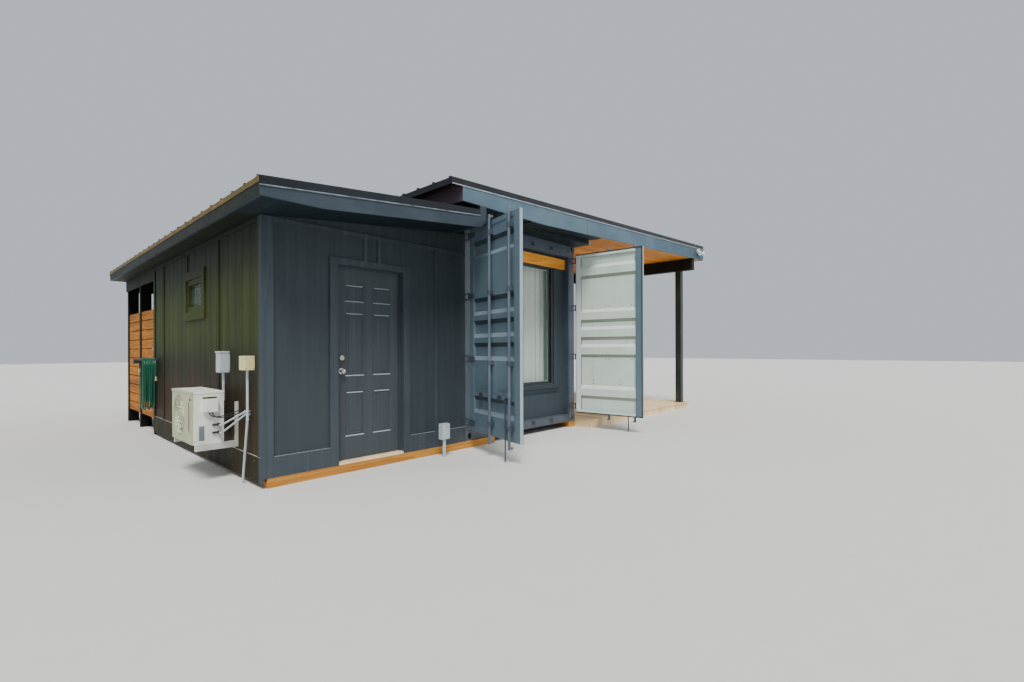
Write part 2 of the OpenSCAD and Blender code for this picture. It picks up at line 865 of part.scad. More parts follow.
module door_panels() {
    col_w = (door_w - 3 * door_stile) / 2;
    for (row = panel_rows, c = [0, 1]) {
        x0 = door_stile + c * (col_w + door_stile);
        ring([x0, row[0] * door_h], [x0 + col_w, row[1] * door_h], [22, 22], 0, panel_d);
        ring([x0 + 34, row[0] * door_h + 34], [x0 + col_w - 34, row[1] * door_h - 34],
             [8, 8], 0, panel_d - 3);
    }
}

module annex_door() {
    color("dimgray") translate([door_x0, door_back - door_t, door_z0]) difference() {
        cube([door_w, door_t, door_h]);
        translate([0, -eps, 0]) door_panels();
        translate([0, door_t - panel_d + eps, 0]) door_panels();
    }
}

module door_knob() {
    rotate([90, 0, 0]) rotate_extrude() polygon([
        [0, 0], [32, 0], [32, 5], [12, 9], [11, 28], [knob_r - 5, 34], [knob_r, 44], [knob_r - 4, 56], [0, 60]
    ]);
}

module annex_door_fittings() {
    z = door_z0 + 0.46 * door_h;
    x = door_x0 + 62;
    front = door_back - door_t;
    knuckle_h = 90;
    lock_rise = 140;
    color("silver") {
        translate([x, front, z]) door_knob();
        translate([x, door_back, z]) mirror([0, 1, 0]) door_knob();
        translate([x, front, z + lock_rise]) rotate([90, 0, 0]) cylinder(h = 20, r = 26);
        translate([x, door_back, z + lock_rise]) rotate([-90, 0, 0]) cylinder(h = 20, r = 26);
        for (f = [0.1, 0.5, 0.9]) translate([0, 0, door_z0 + f * door_h - knuckle_h / 2]) {
            block([door_x1 - 42, door_back, 0], [door_x1, door_back + 3, knuckle_h]);
            block([door_x1 - 6, door_back, 0], [door_x1, door_pin_y, knuckle_h]);
            translate([door_pin_x, door_pin_y, 0]) cylinder(h = knuckle_h, r = 6);
        }
    }
}

// Boards on the annex: corner boards, frieze, battens and base boards, fused as one skin
module annex_trim() {
    left = ann_left - trim_t;
    back = ann_len;
    frieze_z = ann_level - frieze_h;
    case0 = hole_x0 + jamb_t - 5 - casing_w;
    case1 = hole_x1 - jamb_t + 5 + casing_w;
    base_top = timber_h + base_h;
    head_top = hole_z1 - jamb_t + 5 + casing_h;
    color("darkslategray") {
        block([left, -trim_t, timber_h - base_drop], [ann_left, back, base_top]);
        block([left, -trim_t, timber_h], [case0, 0, base_top]);
        block([left, -trim_t, base_top], [ann_left + corner_w, 0, frieze_z]);
        block([left, -trim_t, base_top], [ann_left, corner_w, frieze_z]);
        block([left, back - corner_w, base_top], [ann_left, back, frieze_z]);
        block([left, -trim_t, frieze_z], [-side_gap, 0, ann_level]);
        block([left, -trim_t, frieze_z], [ann_left, back, ann_level]);
        for (y = [batten_step, ann_len - batten_in])
            block([left, y - batten_w / 2, base_top], [ann_left, y + batten_w / 2, frieze_z]);
        block([left, 2 * batten_step - batten_w / 2, side_z + side_h / 2 + side_casing],
              [ann_left, 2 * batten_step + batten_w / 2, frieze_z]);
        for (x = [door_x0 + 0.39 * door_w, door_x0 + 0.61 * door_w])
            block([x - batten_w / 2, -trim_t, head_top], [x + batten_w / 2, 0, frieze_z]);
        block([case1, -trim_t, timber_h], [-side_gap, 0, base_top]);
        block([case1 + 0.42 * (-side_gap - case1), -trim_t, base_top],
              [case1 + 0.42 * (-side_gap - case1) + batten_w, 0, frieze_z]);
    }
}

module side_window_frame() {
    y0 = side_y - side_w / 2;
    y1 = side_y + side_w / 2;
    z0 = side_z - side_h / 2;
    z1 = side_z + side_h / 2;
    color("darkolivegreen") {
        difference() {
            block([ann_left - trim_t - 8, y0 - side_casing, z0 - side_casing],
                  [ann_left, y1 + side_casing, z1 + side_casing]);
            block([ann_left - trim_t - 9, y0, z0], [ann_left + 1, y1, z1]);
        }
        difference() {
            block([ann_left - 12, y0, z0], [ann_left + 70, y1, z1]);
            block([ann_left - 13, y0 + side_face, z0 + side_face],
                  [ann_left + 71, y1 - side_face, z1 - side_face]);
        }
    }
}

module window_glass() {
    mid = infill_y + win_d / 2;
    side_x = ann_left + 22;
    color("lightblue", 0.4) {
        block([glass_lo[0], mid - glass_t / 2, glass_lo[1]], [glass_hi[0], mid + glass_t / 2, glass_hi[1]]);
        block([side_x, side_y - side_w / 2 + side_face, side_z - side_h / 2 + side_face],
              [side_x + glass_t, side_y + side_w / 2 - side_face, side_z + side_h / 2 - side_face]);
    }
}

// The annex roof between two heights below its sheet, cut level at the eave
module annex_band(x0, x1, high, low, y0, y1) {
    translate([0, y1, 0]) rotate([90, 0, 0]) linear_extrude(y1 - y0) intersection() {
        polygon([[x0, ann_sheet(x0) - low], [x1, ann_sheet(x1) - low],
                 [x1, ann_sheet(x1) - high - seat], [x0, ann_sheet(x0) - high - seat]]);
        translate([x0, ann_level]) square([x1 - x0, con_h]);
    }
}

module annex_roof_frame() {
    x0 = eave_x + fascia_t;
    color("saddlebrown") {
        annex_band(x0, -ann_short - fascia_t, roof_t, roof_t + ann_frame, -front_over + fascia_t, 0);
        annex_band(x0, -side_gap, roof_t, roof_t + ann_frame, 0, enc_roof_y1 - fascia_t);
    }
}

// A ribbed roof sheet that rises along X, its top at the height of the ribs
module ribbed_sheet(x0, z0, x1, z1, y0, y1) {
    margin = 45;
    n = max(2, round((y1 - y0) / rib_step));
    step = (y1 - y0 - 2 * margin) / n;
    foot = 22;
    crown = 10;
    along_y([[x0, z0 - roof_t], [x1, z1 - roof_t], [x1, z1], [x0, z0]], y0, y1);
    rise = z1 - z0;
    run = x1 - x0;
    slant = atan(rise / run);
    for (i = [0:n]) translate([x0, y0 + margin + i * step, z0]) rotate([0, -slant, 0])
        along_x([[-foot, -1], [foot, -1], [crown, rib_h - 1], [-crown, rib_h - 1]],
                1, sqrt(run * run + rise * rise) - 8);
}

module annex_roof_sheet() {
    lip = 4;
    x0 = eave_x - lip;
    x1 = -side_gap;
    y0 = -front_over - lip;
    y1 = enc_roof_y1 + lip;
    edge = rake_h - rib_h;
    color("dimgray") difference() {
        union() {
            ribbed_sheet(x0, ann_sheet(x0), x1, ann_sheet(x1), y0, y1);
            for (y = [y0, y1 - lip])
                along_y([[x0, ann_sheet(x0) - edge], [x1, ann_sheet(x1) - edge],
                         [x1, ann_sheet(x1)], [x0, ann_sheet(x0)]], y, y + lip);
        }
        block([-ann_short, y0 - 1, con_z], [0, 0, con_top + con_h]);
        block([-ann_short - ann_block, y0 - 1, con_z], [0, y0 + lip + block_d, con_top + con_h]);
    }
}

module annex_fascia() {
    y0 = -front_over;
    y1 = enc_roof_y1;
    low = ann_fascia - rib_h;
    x2 = -ann_short;
    x3 = x2 - ann_block;
    low_z = ann_sheet(x3) - low;
    chamfer_h = 80;
    color("slategray") {
        difference() {
            union() {
                annex_band(eave_x, x2, roof_t, low, y0, y0 + fascia_t);
                block([x3, y0, ann_sheet(x3) - 2 * roof_t], [x2, y0 + block_d, con_top - main_hang]);
            }
            along_y([[x3, low_z], [x2 + 1, low_z], [x2 + 1, low_z + chamfer_h]], y0 - 1, y0 + fascia_t + 1);
        }
        annex_band(eave_x, -side_gap, roof_t, low, y1 - fascia_t, y1);
        annex_band(eave_x, eave_x + fascia_t, roof_t, low, y0 + fascia_t - eps, y1 - fascia_t + eps);
        block([x2 - fascia_t, y0 + fascia_t - eps, ann_under(x2)], [x2, 0, ann_sheet(x2) - roof_t - 3]);
    }
}

module enclosure_posts() {
    y_mid = ann_len + enc_len / 2;
    color("darkslategray") {
        for (y = [ann_len, y_mid - enc_post / 2, enc_end - enc_post])
            annex_panel(ann_left, ann_left + enc_post_d, 0, y, y + enc_post);
        for (x = [(ann_left - enc_post) / 2, -side_gap - enc_post])
            annex_panel(x, x + enc_post, 0, enc_end - enc_post, enc_end);
    }
}

// Boards with gaps on two upright battens, along +Y, outer face at X = 0
module slat_panel(len, top) {
    n = floor((top - slat_low + slat_gap) / (slat_h + slat_gap));
    batten = 40;
    for (i = [0:n - 1]) translate([0, 0, slat_low + i * (slat_h + slat_gap)])
        cube([slat_t, len, slat_h]);
    for (y = [20, len - 20 - batten])
        block([slat_t, y, slat_low],
              [slat_t + batten, y + batten, slat_low + n * (slat_h + slat_gap) - slat_gap]);
}

slat_top = ann_under(ann_left) - enc_board - enc_open;

module slat_panels() {
    bay = (enc_len - 3 * enc_post) / 2;
    x_mid = (ann_left - enc_post) / 2;
    face = 14;
    color("peru") {
        for (y = [ann_len + enc_post, ann_len + enc_len / 2 + enc_post / 2])
            translate([ann_left + face, y, 0]) slat_panel(bay, slat_top);
        for (span = [[ann_left + enc_post_d, x_mid], [x_mid + enc_post, -side_gap - enc_post]])
            translate([span[0], enc_end - face, 0]) rotate([0, 0, -90])
                slat_panel(span[1] - span[0], slat_top);
    }
}

module enclosure_header() {
    z1 = ann_under(ann_left - trim_t) - seat;
    color("darkslategray") {
        block([ann_left - trim_t, ann_len, z1 - enc_board], [ann_left, enc_end + trim_t, z1]);
        annex_panel(ann_left, -side_gap, z1 - enc_board, enc_end, enc_end + trim_t);
    }
}

module main_roof_frame() {
    skin = rib_h + roof_t + seat;
    x0 = fascia_x0 + fascia_t;
    x1 = main_x1 - fascia_t;
    y1 = roof_y1 - fascia_t;
    color("saddlebrown") {
        along_y([
            [x0, con_top], [ceil_x0, con_top], [x1, main_under(x1) + ceil_t],
            [x1, main_top(x1) - skin], [x0, main_top(x0) - skin]
        ], -front_over + fascia_t, y1);
        block([x0, -soffit_d, con_top], [con_w, y1, main_under(con_w) + ceil_t + 1]);
    }
}

module main_roof_sheet() {
    lip = 4;
    y0 = -front_over - lip;
    y1 = roof_y1 + lip;
    x1 = main_x1 + lip;
    edge = rake_h - rib_h;
    z0 = main_sheet(main_x0);
    z1 = main_sheet(x1);
    color("dimgray") {
        ribbed_sheet(main_x0, z0, x1, z1, y0, y1);
        for (y = [y0, y1 - lip])
            along_y([[main_x0, z0 - edge], [x1, z1 - edge], [x1, z1], [main_x0, z0]], y, y + lip);
        block([main_x0, y0, z0 - edge], [main_x0 + lip, y1, z0 - 1]);
        block([x1 - lip, y0, z1 - edge], [x1, y1, z1 - 1]);
    }
}

// A ring of boards round the main roof, cut level at its low end
module main_fascia_boards() {
    skin = rib_h + roof_t + seat;
    x0 = fascia_x0;
    x1 = main_x1;
    y0 = -front_over;
    y1 = roof_y1;
    color("slategray") difference() {
        translate([0, y1, 0]) rotate([90, 0, 0]) linear_extrude(y1 - y0) intersection() {
            polygon([[x0, main_top(x0) - main_fascia], [x1, main_top(x1) - main_fascia],
                     [x1, main_top(x1) - skin], [x0, main_top(x0) - skin]]);
            translate([x0, con_top - main_hang]) square([x1 - x0, con_h]);
        }
        block([x0 + fascia_t, y0 + fascia_t, con_z], [x1 - fascia_t, y1 - fascia_t, con_top + con_h]);
    }
}

module front_soffit() {
    color("darkslategray") block([fascia_x0 + fascia_t, -soffit_d, con_top - soffit_t], [con_w, 0, con_top]);
}

module porch_ceiling() {
    x1 = main_x1 - fascia_t;
    y1 = roof_y1 - fascia_t;
    color("peru") difference() {
        along_y([
            [ceil_x0, con_top - ceil_t], [x1, main_under(x1)],
            [x1, main_under(x1) + ceil_t - seat], [ceil_x0, con_top - seat]
        ], -front_over + fascia_t, y1);
        block([main_x0, -soffit_d, con_z], [con_w, y1 + 1, con_top + con_h]);
    }
}

beam_x0 = con_w + porch_post_x - post_s / 2;
beam_x1 = beam_x0 + post_s;
beam_z = main_under(beam_x0) - porch_beam_h;

module porch_beam() {
    color("black") along_y([
        [beam_x0, beam_z], [beam_x1, beam_z],
        [beam_x1, main_under(beam_x1) - seat], [beam_x0, main_under(beam_x0) - seat]
    ], -front_over + fascia_t, roof_y1 - fascia_t);
}

module porch_posts() {
    plate = 12;
    first = -deck_front + 12;
    last = con_len - post_s;
    color("black") for (y = [first, (first + last) / 2, last]) {
        block([beam_x0, y, porch_h + plate], [beam_x1, y + post_s, beam_z]);
        block([beam_x0 - 10, y - 10, porch_h], [beam_x1 + 10, y + post_s + 10, porch_h + plate]);
    }
}

module porch_deck() {
    x0 = con_w + side_gap;
    x1 = beam_x1 + deck_over;
    y0 = -deck_front;
    y1 = con_len;
    joist = 38;
    n = 6;
    color("wheat") {
        block([x0, y0, porch_h - board_t], [x1, y1, porch_h]);
        for (i = [0:n]) translate([x0 + i * (x1 - x0 - joist) / n, 0, 0])
            block([0, y0 + 15, 0], [joist, y1 - 15, porch_h - board_t + eps]);
        for (y = [y0 + 15, y1 - 15 - joist]) block([x0, y, 0], [x1, y + joist, porch_h - board_t + eps]);
    }
}

module floodlight() {
    x = main_x1 - 300;
    z = main_top(x) - main_fascia / 2;
    y = -front_over;
    lamp_s = 62;
    plate_d = 34;
    color("white") {
        translate([x, y, z]) rotate([90, 0, 0]) cylinder(h = plate_d, r = 50);
        for (s = [-1, 1]) translate([x + s * lamp_s, y - 64, z - 30])
            rotate([-50, 0, s * 25]) cylinder(h = 90, r1 = 48, r2 = 26, center = true);
        block([x - lamp_s - 8, y - plate_d - 20, z - 12], [x + lamp_s + 8, y - plate_d + 4, z + 12]);
    }
}

ac_x1 = ann_left - ac_gap;
ac_x0 = ac_x1 - ac_d;

module air_conditioner() {
    grille_r = 210;
    fan_y = ac_y + ac_w - 260;
    cover_d = 45;
    color("beige") {
        difference() {
            block([ac_x0, ac_y, ac_z], [ac_x1, ac_y + ac_w, ac_z + ac_h]);
            translate([ac_x0 - 1, fan_y, ac_z + ac_h / 2]) rotate([0, 90, 0]) cylinder(h = 31, r = grille_r);
        }
        for (k = [1:4]) translate([ac_x0 + 2, fan_y, ac_z + ac_h / 2]) rotate([0, 90, 0]) difference() {
            cylinder(h = 30, r = grille_r * k / 4 - 22);
            translate([0, 0, -1]) cylinder(h = 32, r = grille_r * k / 4 - 28);
        }
        for (a = [0:45:135]) translate([ac_x0 + 6, fan_y, ac_z + ac_h / 2]) rotate([a, 0, 0])
            block([0, -grille_r, -3], [26, grille_r, 3]);
        block([ac_x0 + 88, ac_y - cover_d, ac_z + ac_h - 190], [ac_x1 - 59, ac_y + eps, ac_z + ac_h - 68]);
    }
}

module air_conditioner_bracket() {
    arm_w = 40;
    arm_h = 60;
    arm_out = 26;
    upright_h = 390;
    color("white") {
        for (y = [ac_y - arm_out, ac_y + ac_w + arm_out - arm_w]) {
            block([ann_left - 30, y, ac_z - arm_h], [ann_left, y + arm_w, ac_z + upright_h]);
            block([ac_x0 + 20, y, ac_z - arm_h], [ann_left, y + arm_w, ac_z]);
        }
    }
}

// A round pipe through a list of points, with a ball joint at each bend
module pipe_run(points, r) {
    ball_r = r + 3;
    for (i = [0:len(points) - 2]) {
        d = points[i + 1] - points[i];
        translate(points[i]) rotate([0, acos(d[2] / norm(d)), atan2(d[1], d[0])])
            cylinder(h = norm(d), r = r);
    }
    for (i = [1:len(points) - 2]) translate(points[i]) sphere(r = ball_r);
}

// Switch boxes on the wall with their conduits, the cooling lines, and an outlet box on a stub
module wall_services() {
    line_r = 9;
    line_x = ac_x1 - 49;
    line_end = 300;
    box_x = ann_left - 100;
    box_z = 1050;
    switch_y = ac_y + 220;
    pipe_x = ann_left - 50;
    link_z = ac_z + ac_h - 110;
    stub_x = -495;
    stub_y = -185;
    stub_z = 210;
    color("gainsboro") {
        block([box_x, switch_y, box_z], [ann_left, switch_y + 120, box_z + 210]);
        block([box_x + 5, 180, box_z + 45], [ann_left, 320, box_z + 170]);
        translate([pipe_x, switch_y + 60, link_z]) cylinder(h = box_z - link_z + 5, r = pipe_r);
        translate([ac_x1, switch_y + 60, link_z]) rotate([0, 90, 0]) cylinder(h = pipe_x - ac_x1, r = pipe_r);
        translate([pipe_x, switch_y + 60, link_z]) sphere(r = pipe_r);
        pipe_run([[pipe_x, 240, box_z + 50], [pipe_x, 240, 620], [pipe_x, 369, 4]], pipe_r - 2);
        for (k = [0, 1]) pipe_run([
            [line_x, ac_y, ac_z + 103 + 75 * k], [line_x, ac_y - 90, ac_z + 103 + 75 * k],
            [ann_left - 50, line_end, ac_z + 290 + 30 * k], [ann_left, line_end, ac_z + 290 + 30 * k]
        ], line_r);
        block([stub_x - 55, stub_y - 35, stub_z], [stub_x + 55, stub_y + 35, stub_z + 186]);
        translate([stub_x, stub_y, 0]) cylinder(h = stub_z + 5, r = 20);
    }
}

hose_y = ann_len - hose_in;

// The hose hangs in long loops from a bracket on the wall
module hose_hanger() {
    reach = hose_out + 50;
    color("darkgreen") {
        block([ann_left - 8, hose_y - 50, hose_z - 40], [ann_left, hose_y + 50, hose_z + 50]);
        translate([ann_left - 8, hose_y, hose_z]) rotate([0, -90, 0]) cylinder(h = reach - 8, r = 30);
        translate([ann_left - reach, hose_y, hose_z]) rotate([0, -90, 0]) cylinder(h = 8, r = 45);
    }
}

module hose_loops() {
    r = hose_w / 2;
    color("seagreen") translate([ann_left - 30, hose_y, hose_z]) rotate([0, -90, 0]) difference() {
        linear_extrude(hose_out) union() {
            translate([30 + 2 * hose_r - r, 0]) circle(r = r);
            translate([30 + 2 * hose_r + r - hose_h, 0]) circle(r = r);
            translate([30 + 2 * hose_r + r - hose_h, -r]) square([hose_h - 2 * r, 2 * r]);
        }
        translate([0, 0, -1]) cylinder(h = hose_out + 2, r = 30.3);
    }
}

container_posts();
container_end_rails();
container_side_rails();
container_left_wall();
container_right_wall();
container_back_wall();
container_roof();
container_floor();
glazed_wall();
large_window_frame();
window_glass();
cedar_header();
curtain_rod();
curtain();
left_cargo_door();
left_door_fittings();
left_outer_bar();
left_inner_bar();
right_cargo_door();
right_door_fittings();
right_outer_bar();
right_inner_bar();
cargo_hinge_lugs();
front_timber();
support_timbers();
annex_floor();
annex_front_wall();
annex_wall_head();
annex_back_wall();
annex_side_wall();
annex_door_frame();
annex_threshold();
annex_door();
annex_door_fittings();
annex_trim();
side_window_frame();
annex_roof_frame();
annex_roof_sheet();
annex_fascia();
enclosure_posts();
enclosure_header();
slat_panels();
main_roof_frame();
main_roof_sheet();
main_fascia_boards();
front_soffit();
porch_ceiling();
porch_beam();
porch_posts();
porch_deck();
floodlight();
air_conditioner();
air_conditioner_bracket();
wall_services();
hose_hanger();
hose_loops();
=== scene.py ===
"""Dresses the shipping container cabin: finishes, boards, bolts, hose, curtain and view."""

import logging
import math
from collections.abc import Callable, Sequence
from dataclasses import dataclass, field
from enum import Enum

import bmesh
import bpy
from mathutils import Matrix, Vector


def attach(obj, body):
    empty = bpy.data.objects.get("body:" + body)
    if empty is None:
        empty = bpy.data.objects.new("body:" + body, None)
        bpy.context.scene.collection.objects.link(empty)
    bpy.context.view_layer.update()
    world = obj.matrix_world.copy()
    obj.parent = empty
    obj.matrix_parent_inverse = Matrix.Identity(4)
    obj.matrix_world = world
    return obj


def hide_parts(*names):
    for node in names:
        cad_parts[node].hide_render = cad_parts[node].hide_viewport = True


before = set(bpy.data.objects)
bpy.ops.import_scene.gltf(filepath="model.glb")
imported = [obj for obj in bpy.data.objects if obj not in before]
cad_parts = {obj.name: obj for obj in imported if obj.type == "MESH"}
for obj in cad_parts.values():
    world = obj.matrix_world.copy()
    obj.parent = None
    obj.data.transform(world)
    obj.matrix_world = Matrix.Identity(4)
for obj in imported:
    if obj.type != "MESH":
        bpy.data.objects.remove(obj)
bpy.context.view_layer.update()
log = logging.getLogger("cabin")

Colour = tuple[float, ...]
Pair = tuple[float, float]
Triple = tuple[float, float, float]
Corners = tuple[Triple, Triple] | tuple[Triple, Triple, float]
Material = bpy.types.Material
Mesh = bpy.types.Mesh
Work = bmesh.types.BMesh
Builder = Callable[[Work], None]


class Slot(Enum):
    """Names of material slots."""

    STEEL = "container_steel"
    SIDING = "dark_siding"
    TRIM = "dark_trim"
    VINYL = "window_vinyl"
    CEDAR = "cedar"
    CURTAIN = "curtain_fabric"
    ROD = "rod_metal"
    ROOF = "roof_metal"
    RAFTER = "roof_timber"
    DECK = "deck_wood"
    UNIT = "unit_beige"
    PLASTIC = "white_plastic"
    HOSE = "hose_rubber"
    NICKEL = "nickel"


def tone(red: int, green: int, blue: int) -> Colour:
    """Linear colour of a screen colour.

    Args:
        red: Red from 0 to 255.
        green: Green from 0 to 255.
        blue: Blue from 0 to 255.

    Returns:
        Linear red, green, blue and a full alpha.
    """
    parts = [c / 255 for c in (red, green, blue)]
    line = [c / 12.92 if c <= 0.04045 else ((c + 0.055) / 1.055) ** 2.4 for c in parts]
    return (line[0], line[1], line[2], 1.0)


class Value:
    """A shader socket that takes part in plain arithmetic."""

    def __init__(self, shader: "Shader", socket: bpy.types.NodeSocket) -> None:
        """Wraps a socket of a shader's tree."""
        self.shader = shader
        self.socket = socket

    def _math(self, operation: str, *terms: "Value | float") -> "Value":
        """One Math node on one or two terms."""
        return self.shader.node("ShaderNodeMath", {"operation": operation}, dict(enumerate(terms)))

    def __add__(self, other: "Value | float") -> "Value":
        """Sum."""
        return self._math("ADD", self, other)

    def __sub__(self, other: "Value | float") -> "Value":
        """Difference."""
        return self._math("SUBTRACT", self, other)

    def __rsub__(self, other: float) -> "Value":
        """Difference from a number."""
        return self._math("SUBTRACT", other, self)

    def __mul__(self, other: "Value | float") -> "Value":
        """Product."""
        return self._math("MULTIPLY", self, other)

    def __truediv__(self, other: "Value | float") -> "Value":
        """Quotient."""
        return self._math("DIVIDE", self, other)

    def abs(self) -> "Value":
        """Size without sign."""
        return self._math("ABSOLUTE", self)

    def floor(self) -> "Value":
        """Whole part."""
        return self._math("FLOOR", self)

    def fract(self) -> "Value":
        """Part after the whole."""
        return self._math("FRACT", self)

    def ramp(self, low: float, high: float) -> "Value":
        """Smooth step from 0 at low to 1 at high."""
        limits = {"Value": self, "From Min": low, "From Max": high, "To Min": 0.0, "To Max": 1.0}
        return self.shader.node("ShaderNodeMapRange", {"interpolation_type": "SMOOTHSTEP"}, limits)


class Shader:
    """The node tree of one finish while it is being made."""

    def __init__(self, name: str) -> None:
        """Starts an empty material with object coordinates."""
        self.material = bpy.data.materials.new(name)
        self.material.use_nodes = True
        self.tree = self.material.node_tree
        self.tree.nodes.clear()
        self.coords = self.tree.nodes.new("ShaderNodeTexCoord")
        self.place = Value(self, self.coords.outputs["Object"])
        self.x, self.y, self.z = self.split("Object")

    def split(self, output: str) -> list[Value]:
        """The three numbers of one kind of coordinates."""
        parts = self.tree.nodes.new("ShaderNodeSeparateXYZ")
        self.tree.links.new(self.coords.outputs[output], parts.inputs[0])
        return [Value(self, socket) for socket in parts.outputs]

    def node(
        self,
        kind: str,
        settings: dict[str, object] | None = None,
        inputs: dict[str | int, object] | None = None,
        output: str | int = 0,
    ) -> Value:
        """Adds any node.

        Args:
            kind: Blender's type name of the node.
            settings: Attributes that are set first.
            inputs: Values or wrapped sockets by the input's name or number.
            output: Name or number of the output that is returned.

        Returns:
            The wrapped output.
        """
        made = self.tree.nodes.new(kind)
        for key, value in (settings or {}).items():
            setattr(made, key, value)
        for key, value in (inputs or {}).items():
            if isinstance(value, Value):
                self.tree.links.new(value.socket, made.inputs[key])
            else:
                made.inputs[key].default_value = value
        return Value(self, made.outputs[output])

    def noise(
        self, scale: float, stretch: Triple = (1, 1, 1), detail: float = 3.0, rough: float = 0.5
    ) -> Value:
        """Noise of a given fineness over object coordinates.

        Args:
            scale: Repeats over a metre.
            stretch: Factors on X, Y and Z.
            detail: Octaves of detail.
            rough: Strength of the finer octaves.

        Returns:
            The noise from 0 to 1.
        """
        vector = self.node("ShaderNodeMapping", None, {"Vector": self.place, "Scale": stretch})
        inputs = {"Vector": vector, "Scale": scale, "Detail": detail, "Roughness": rough}
        return self.node("ShaderNodeTexNoise", None, inputs)

    def mix(self, share: "Value | float", first: object, second: object) -> Value:
        """Blend of two colours."""
        return self.node("ShaderNodeMix", {"data_type": "RGBA"}, {0: share, 6: first, 7: second}, 2)

    def coats(self, colour: object, *coats: tuple["Value | float", object]) -> Value:
        """Colour under further coats, each with its share and its own colour."""
        for share, coat in coats:
            colour = self.mix(share, colour, coat)
        return colour

    def darken(self, colour: object, factor: "Value | float") -> Value:
        """Colour times a grey factor."""
        grey = self.node("ShaderNodeCombineColor", None, {0: factor, 1: factor, 2: factor})
        settings = {"data_type": "RGBA", "blend_type": "MULTIPLY"}
        return self.node("ShaderNodeMix", settings, {0: 1.0, 6: colour, 7: grey}, 2)

    def facing(self, way: Triple) -> Value:
        """How far the surface faces a direction, from -1 to 1."""
        normal = Value(self, self.coords.outputs["Normal"])
        return self.node("ShaderNodeVectorMath", {"operation": "DOT_PRODUCT"}, {0: normal, 1: way}, "Value")

    def lines(self, along: Value, pitch: float, width: float) -> Value:
        """Mask of thin lines that repeat along a coordinate."""
        middle = ((along / pitch).fract() - 0.5).abs()
        return middle.ramp(0.5 - width / pitch, 0.5 - 0.25 * width / pitch)

    def cell(self, along: Value, pitch: float) -> Value:
        """A chance number for each repeat along a coordinate."""
        settings = {"noise_dimensions": "1D"}
        return self.node("ShaderNodeTexWhiteNoise", settings, {"W": (along / pitch).floor()}, "Value")

    def bump(self, height: Value, strength: float, distance: float, under: Value | None = None) -> Value:
        """Surface normal raised by a height."""
        inputs: dict[str | int, object] = {"Height": height, "Strength": strength, "Distance": distance}
        if under is not None:
            inputs["Normal"] = under
        return self.node("ShaderNodeBump", None, inputs)

    def surface(self, colour: object, rough: Value, **others: object) -> Material:
        """Ends the tree in one principled surface; underscores stand for spaces."""
        inputs = {key.replace("_", " "): value for key, value in others.items()}
        inputs |= {"Base Color": colour, "Roughness": rough}
        shader = self.node("ShaderNodeBsdfPrincipled", None, inputs)
        out = self.tree.nodes.new("ShaderNodeOutputMaterial")
        self.tree.links.new(shader.socket, out.inputs["Surface"])
        return self.material


@dataclass(frozen=True)
class LeafPlan:
    """Where a door leaf stands: distances run from its hinge, across its sheet and up.

    Attributes:
        hinge_x: X of the hinge pin.
        turn: Opening angle in degrees.
        side: 1 for the left leaf, -1 for the mirrored right one.
        hinge_y: Y of the hinge pin.
    """

    hinge_x: float
    turn: float
    side: int
    hinge_y: float = -0.049909

    def turned(self) -> Pair:
        """Cosine and sine of the opening angle."""
        return math.cos(math.radians(self.turn)), math.sin(math.radians(self.turn))

    def point(self, along: float, across: float, up: float) -> Triple:
        """A point of the leaf in the row frame."""
        cos, sin = self.turned()
        x = self.hinge_x + self.side * (along * cos + across * sin)
        return (x, self.hinge_y - along * sin + across * cos, up)

    def way(self, along: float, across: float, up: float = 0.0) -> Triple:
        """A direction of the leaf in the row frame."""
        start, end = Vector(self.point(0, 0, 0)), Vector(self.point(along, across, up))
        return tuple((end - start).normalized())


LEAVES = {"left": LeafPlan(0.036, 104.3, 1), "right": LeafPlan(2.402, 94.9, -1)}
UP, LEFT, FRONT = (0.0, 0.0, 1.0), (-1.0, 0.0, 0.0), (0.0, -1.0, 0.0)


@dataclass(frozen=True)
class SteelPaint:
    """Painted steel with dirt runs, faded patches and rust specks.

    Attributes:
        base: Colour of the paint.
        faded: Colour of faded paint.
        rust: Share of rust.
        low: Height under which splashes darken it.
    """

    base: Colour
    faded: Colour
    rust: float = 0.5
    low: float = 0.5

    def colour(self, s: Shader) -> Value:
        """Paint colour over the surface."""
        patches = s.noise(1.7, detail=5).ramp(0.35, 0.7)
        runs = s.noise(9.0, (1, 1, 0.08), 4).ramp(0.45, 0.75)
        specks = s.noise(38.0, detail=4, rough=0.7).ramp(0.69 - 0.06 * self.rust, 0.76)
        splash = (1 - s.z.ramp(0.1, self.low)) * s.noise(14.0, detail=4).ramp(0.35, 0.7)
        return s.coats(
            self.base,
            (patches * 0.55 + runs * 0.3, self.faded),
            (specks * (0.75 * self.rust), tone(96, 58, 38)),
            (splash * 0.4, tone(92, 84, 70)),
        )

    def build(self, name: str) -> Material:
        """Makes the material."""
        s = Shader(name)
        rough = s.noise(6.0, detail=4) * 0.25 + 0.36
        normal = s.bump(s.noise(130.0, detail=2), 0.12, 0.002, s.bump(s.noise(2.2), 0.25, 0.01))
        return s.surface(self.colour(s), rough, Normal=normal)


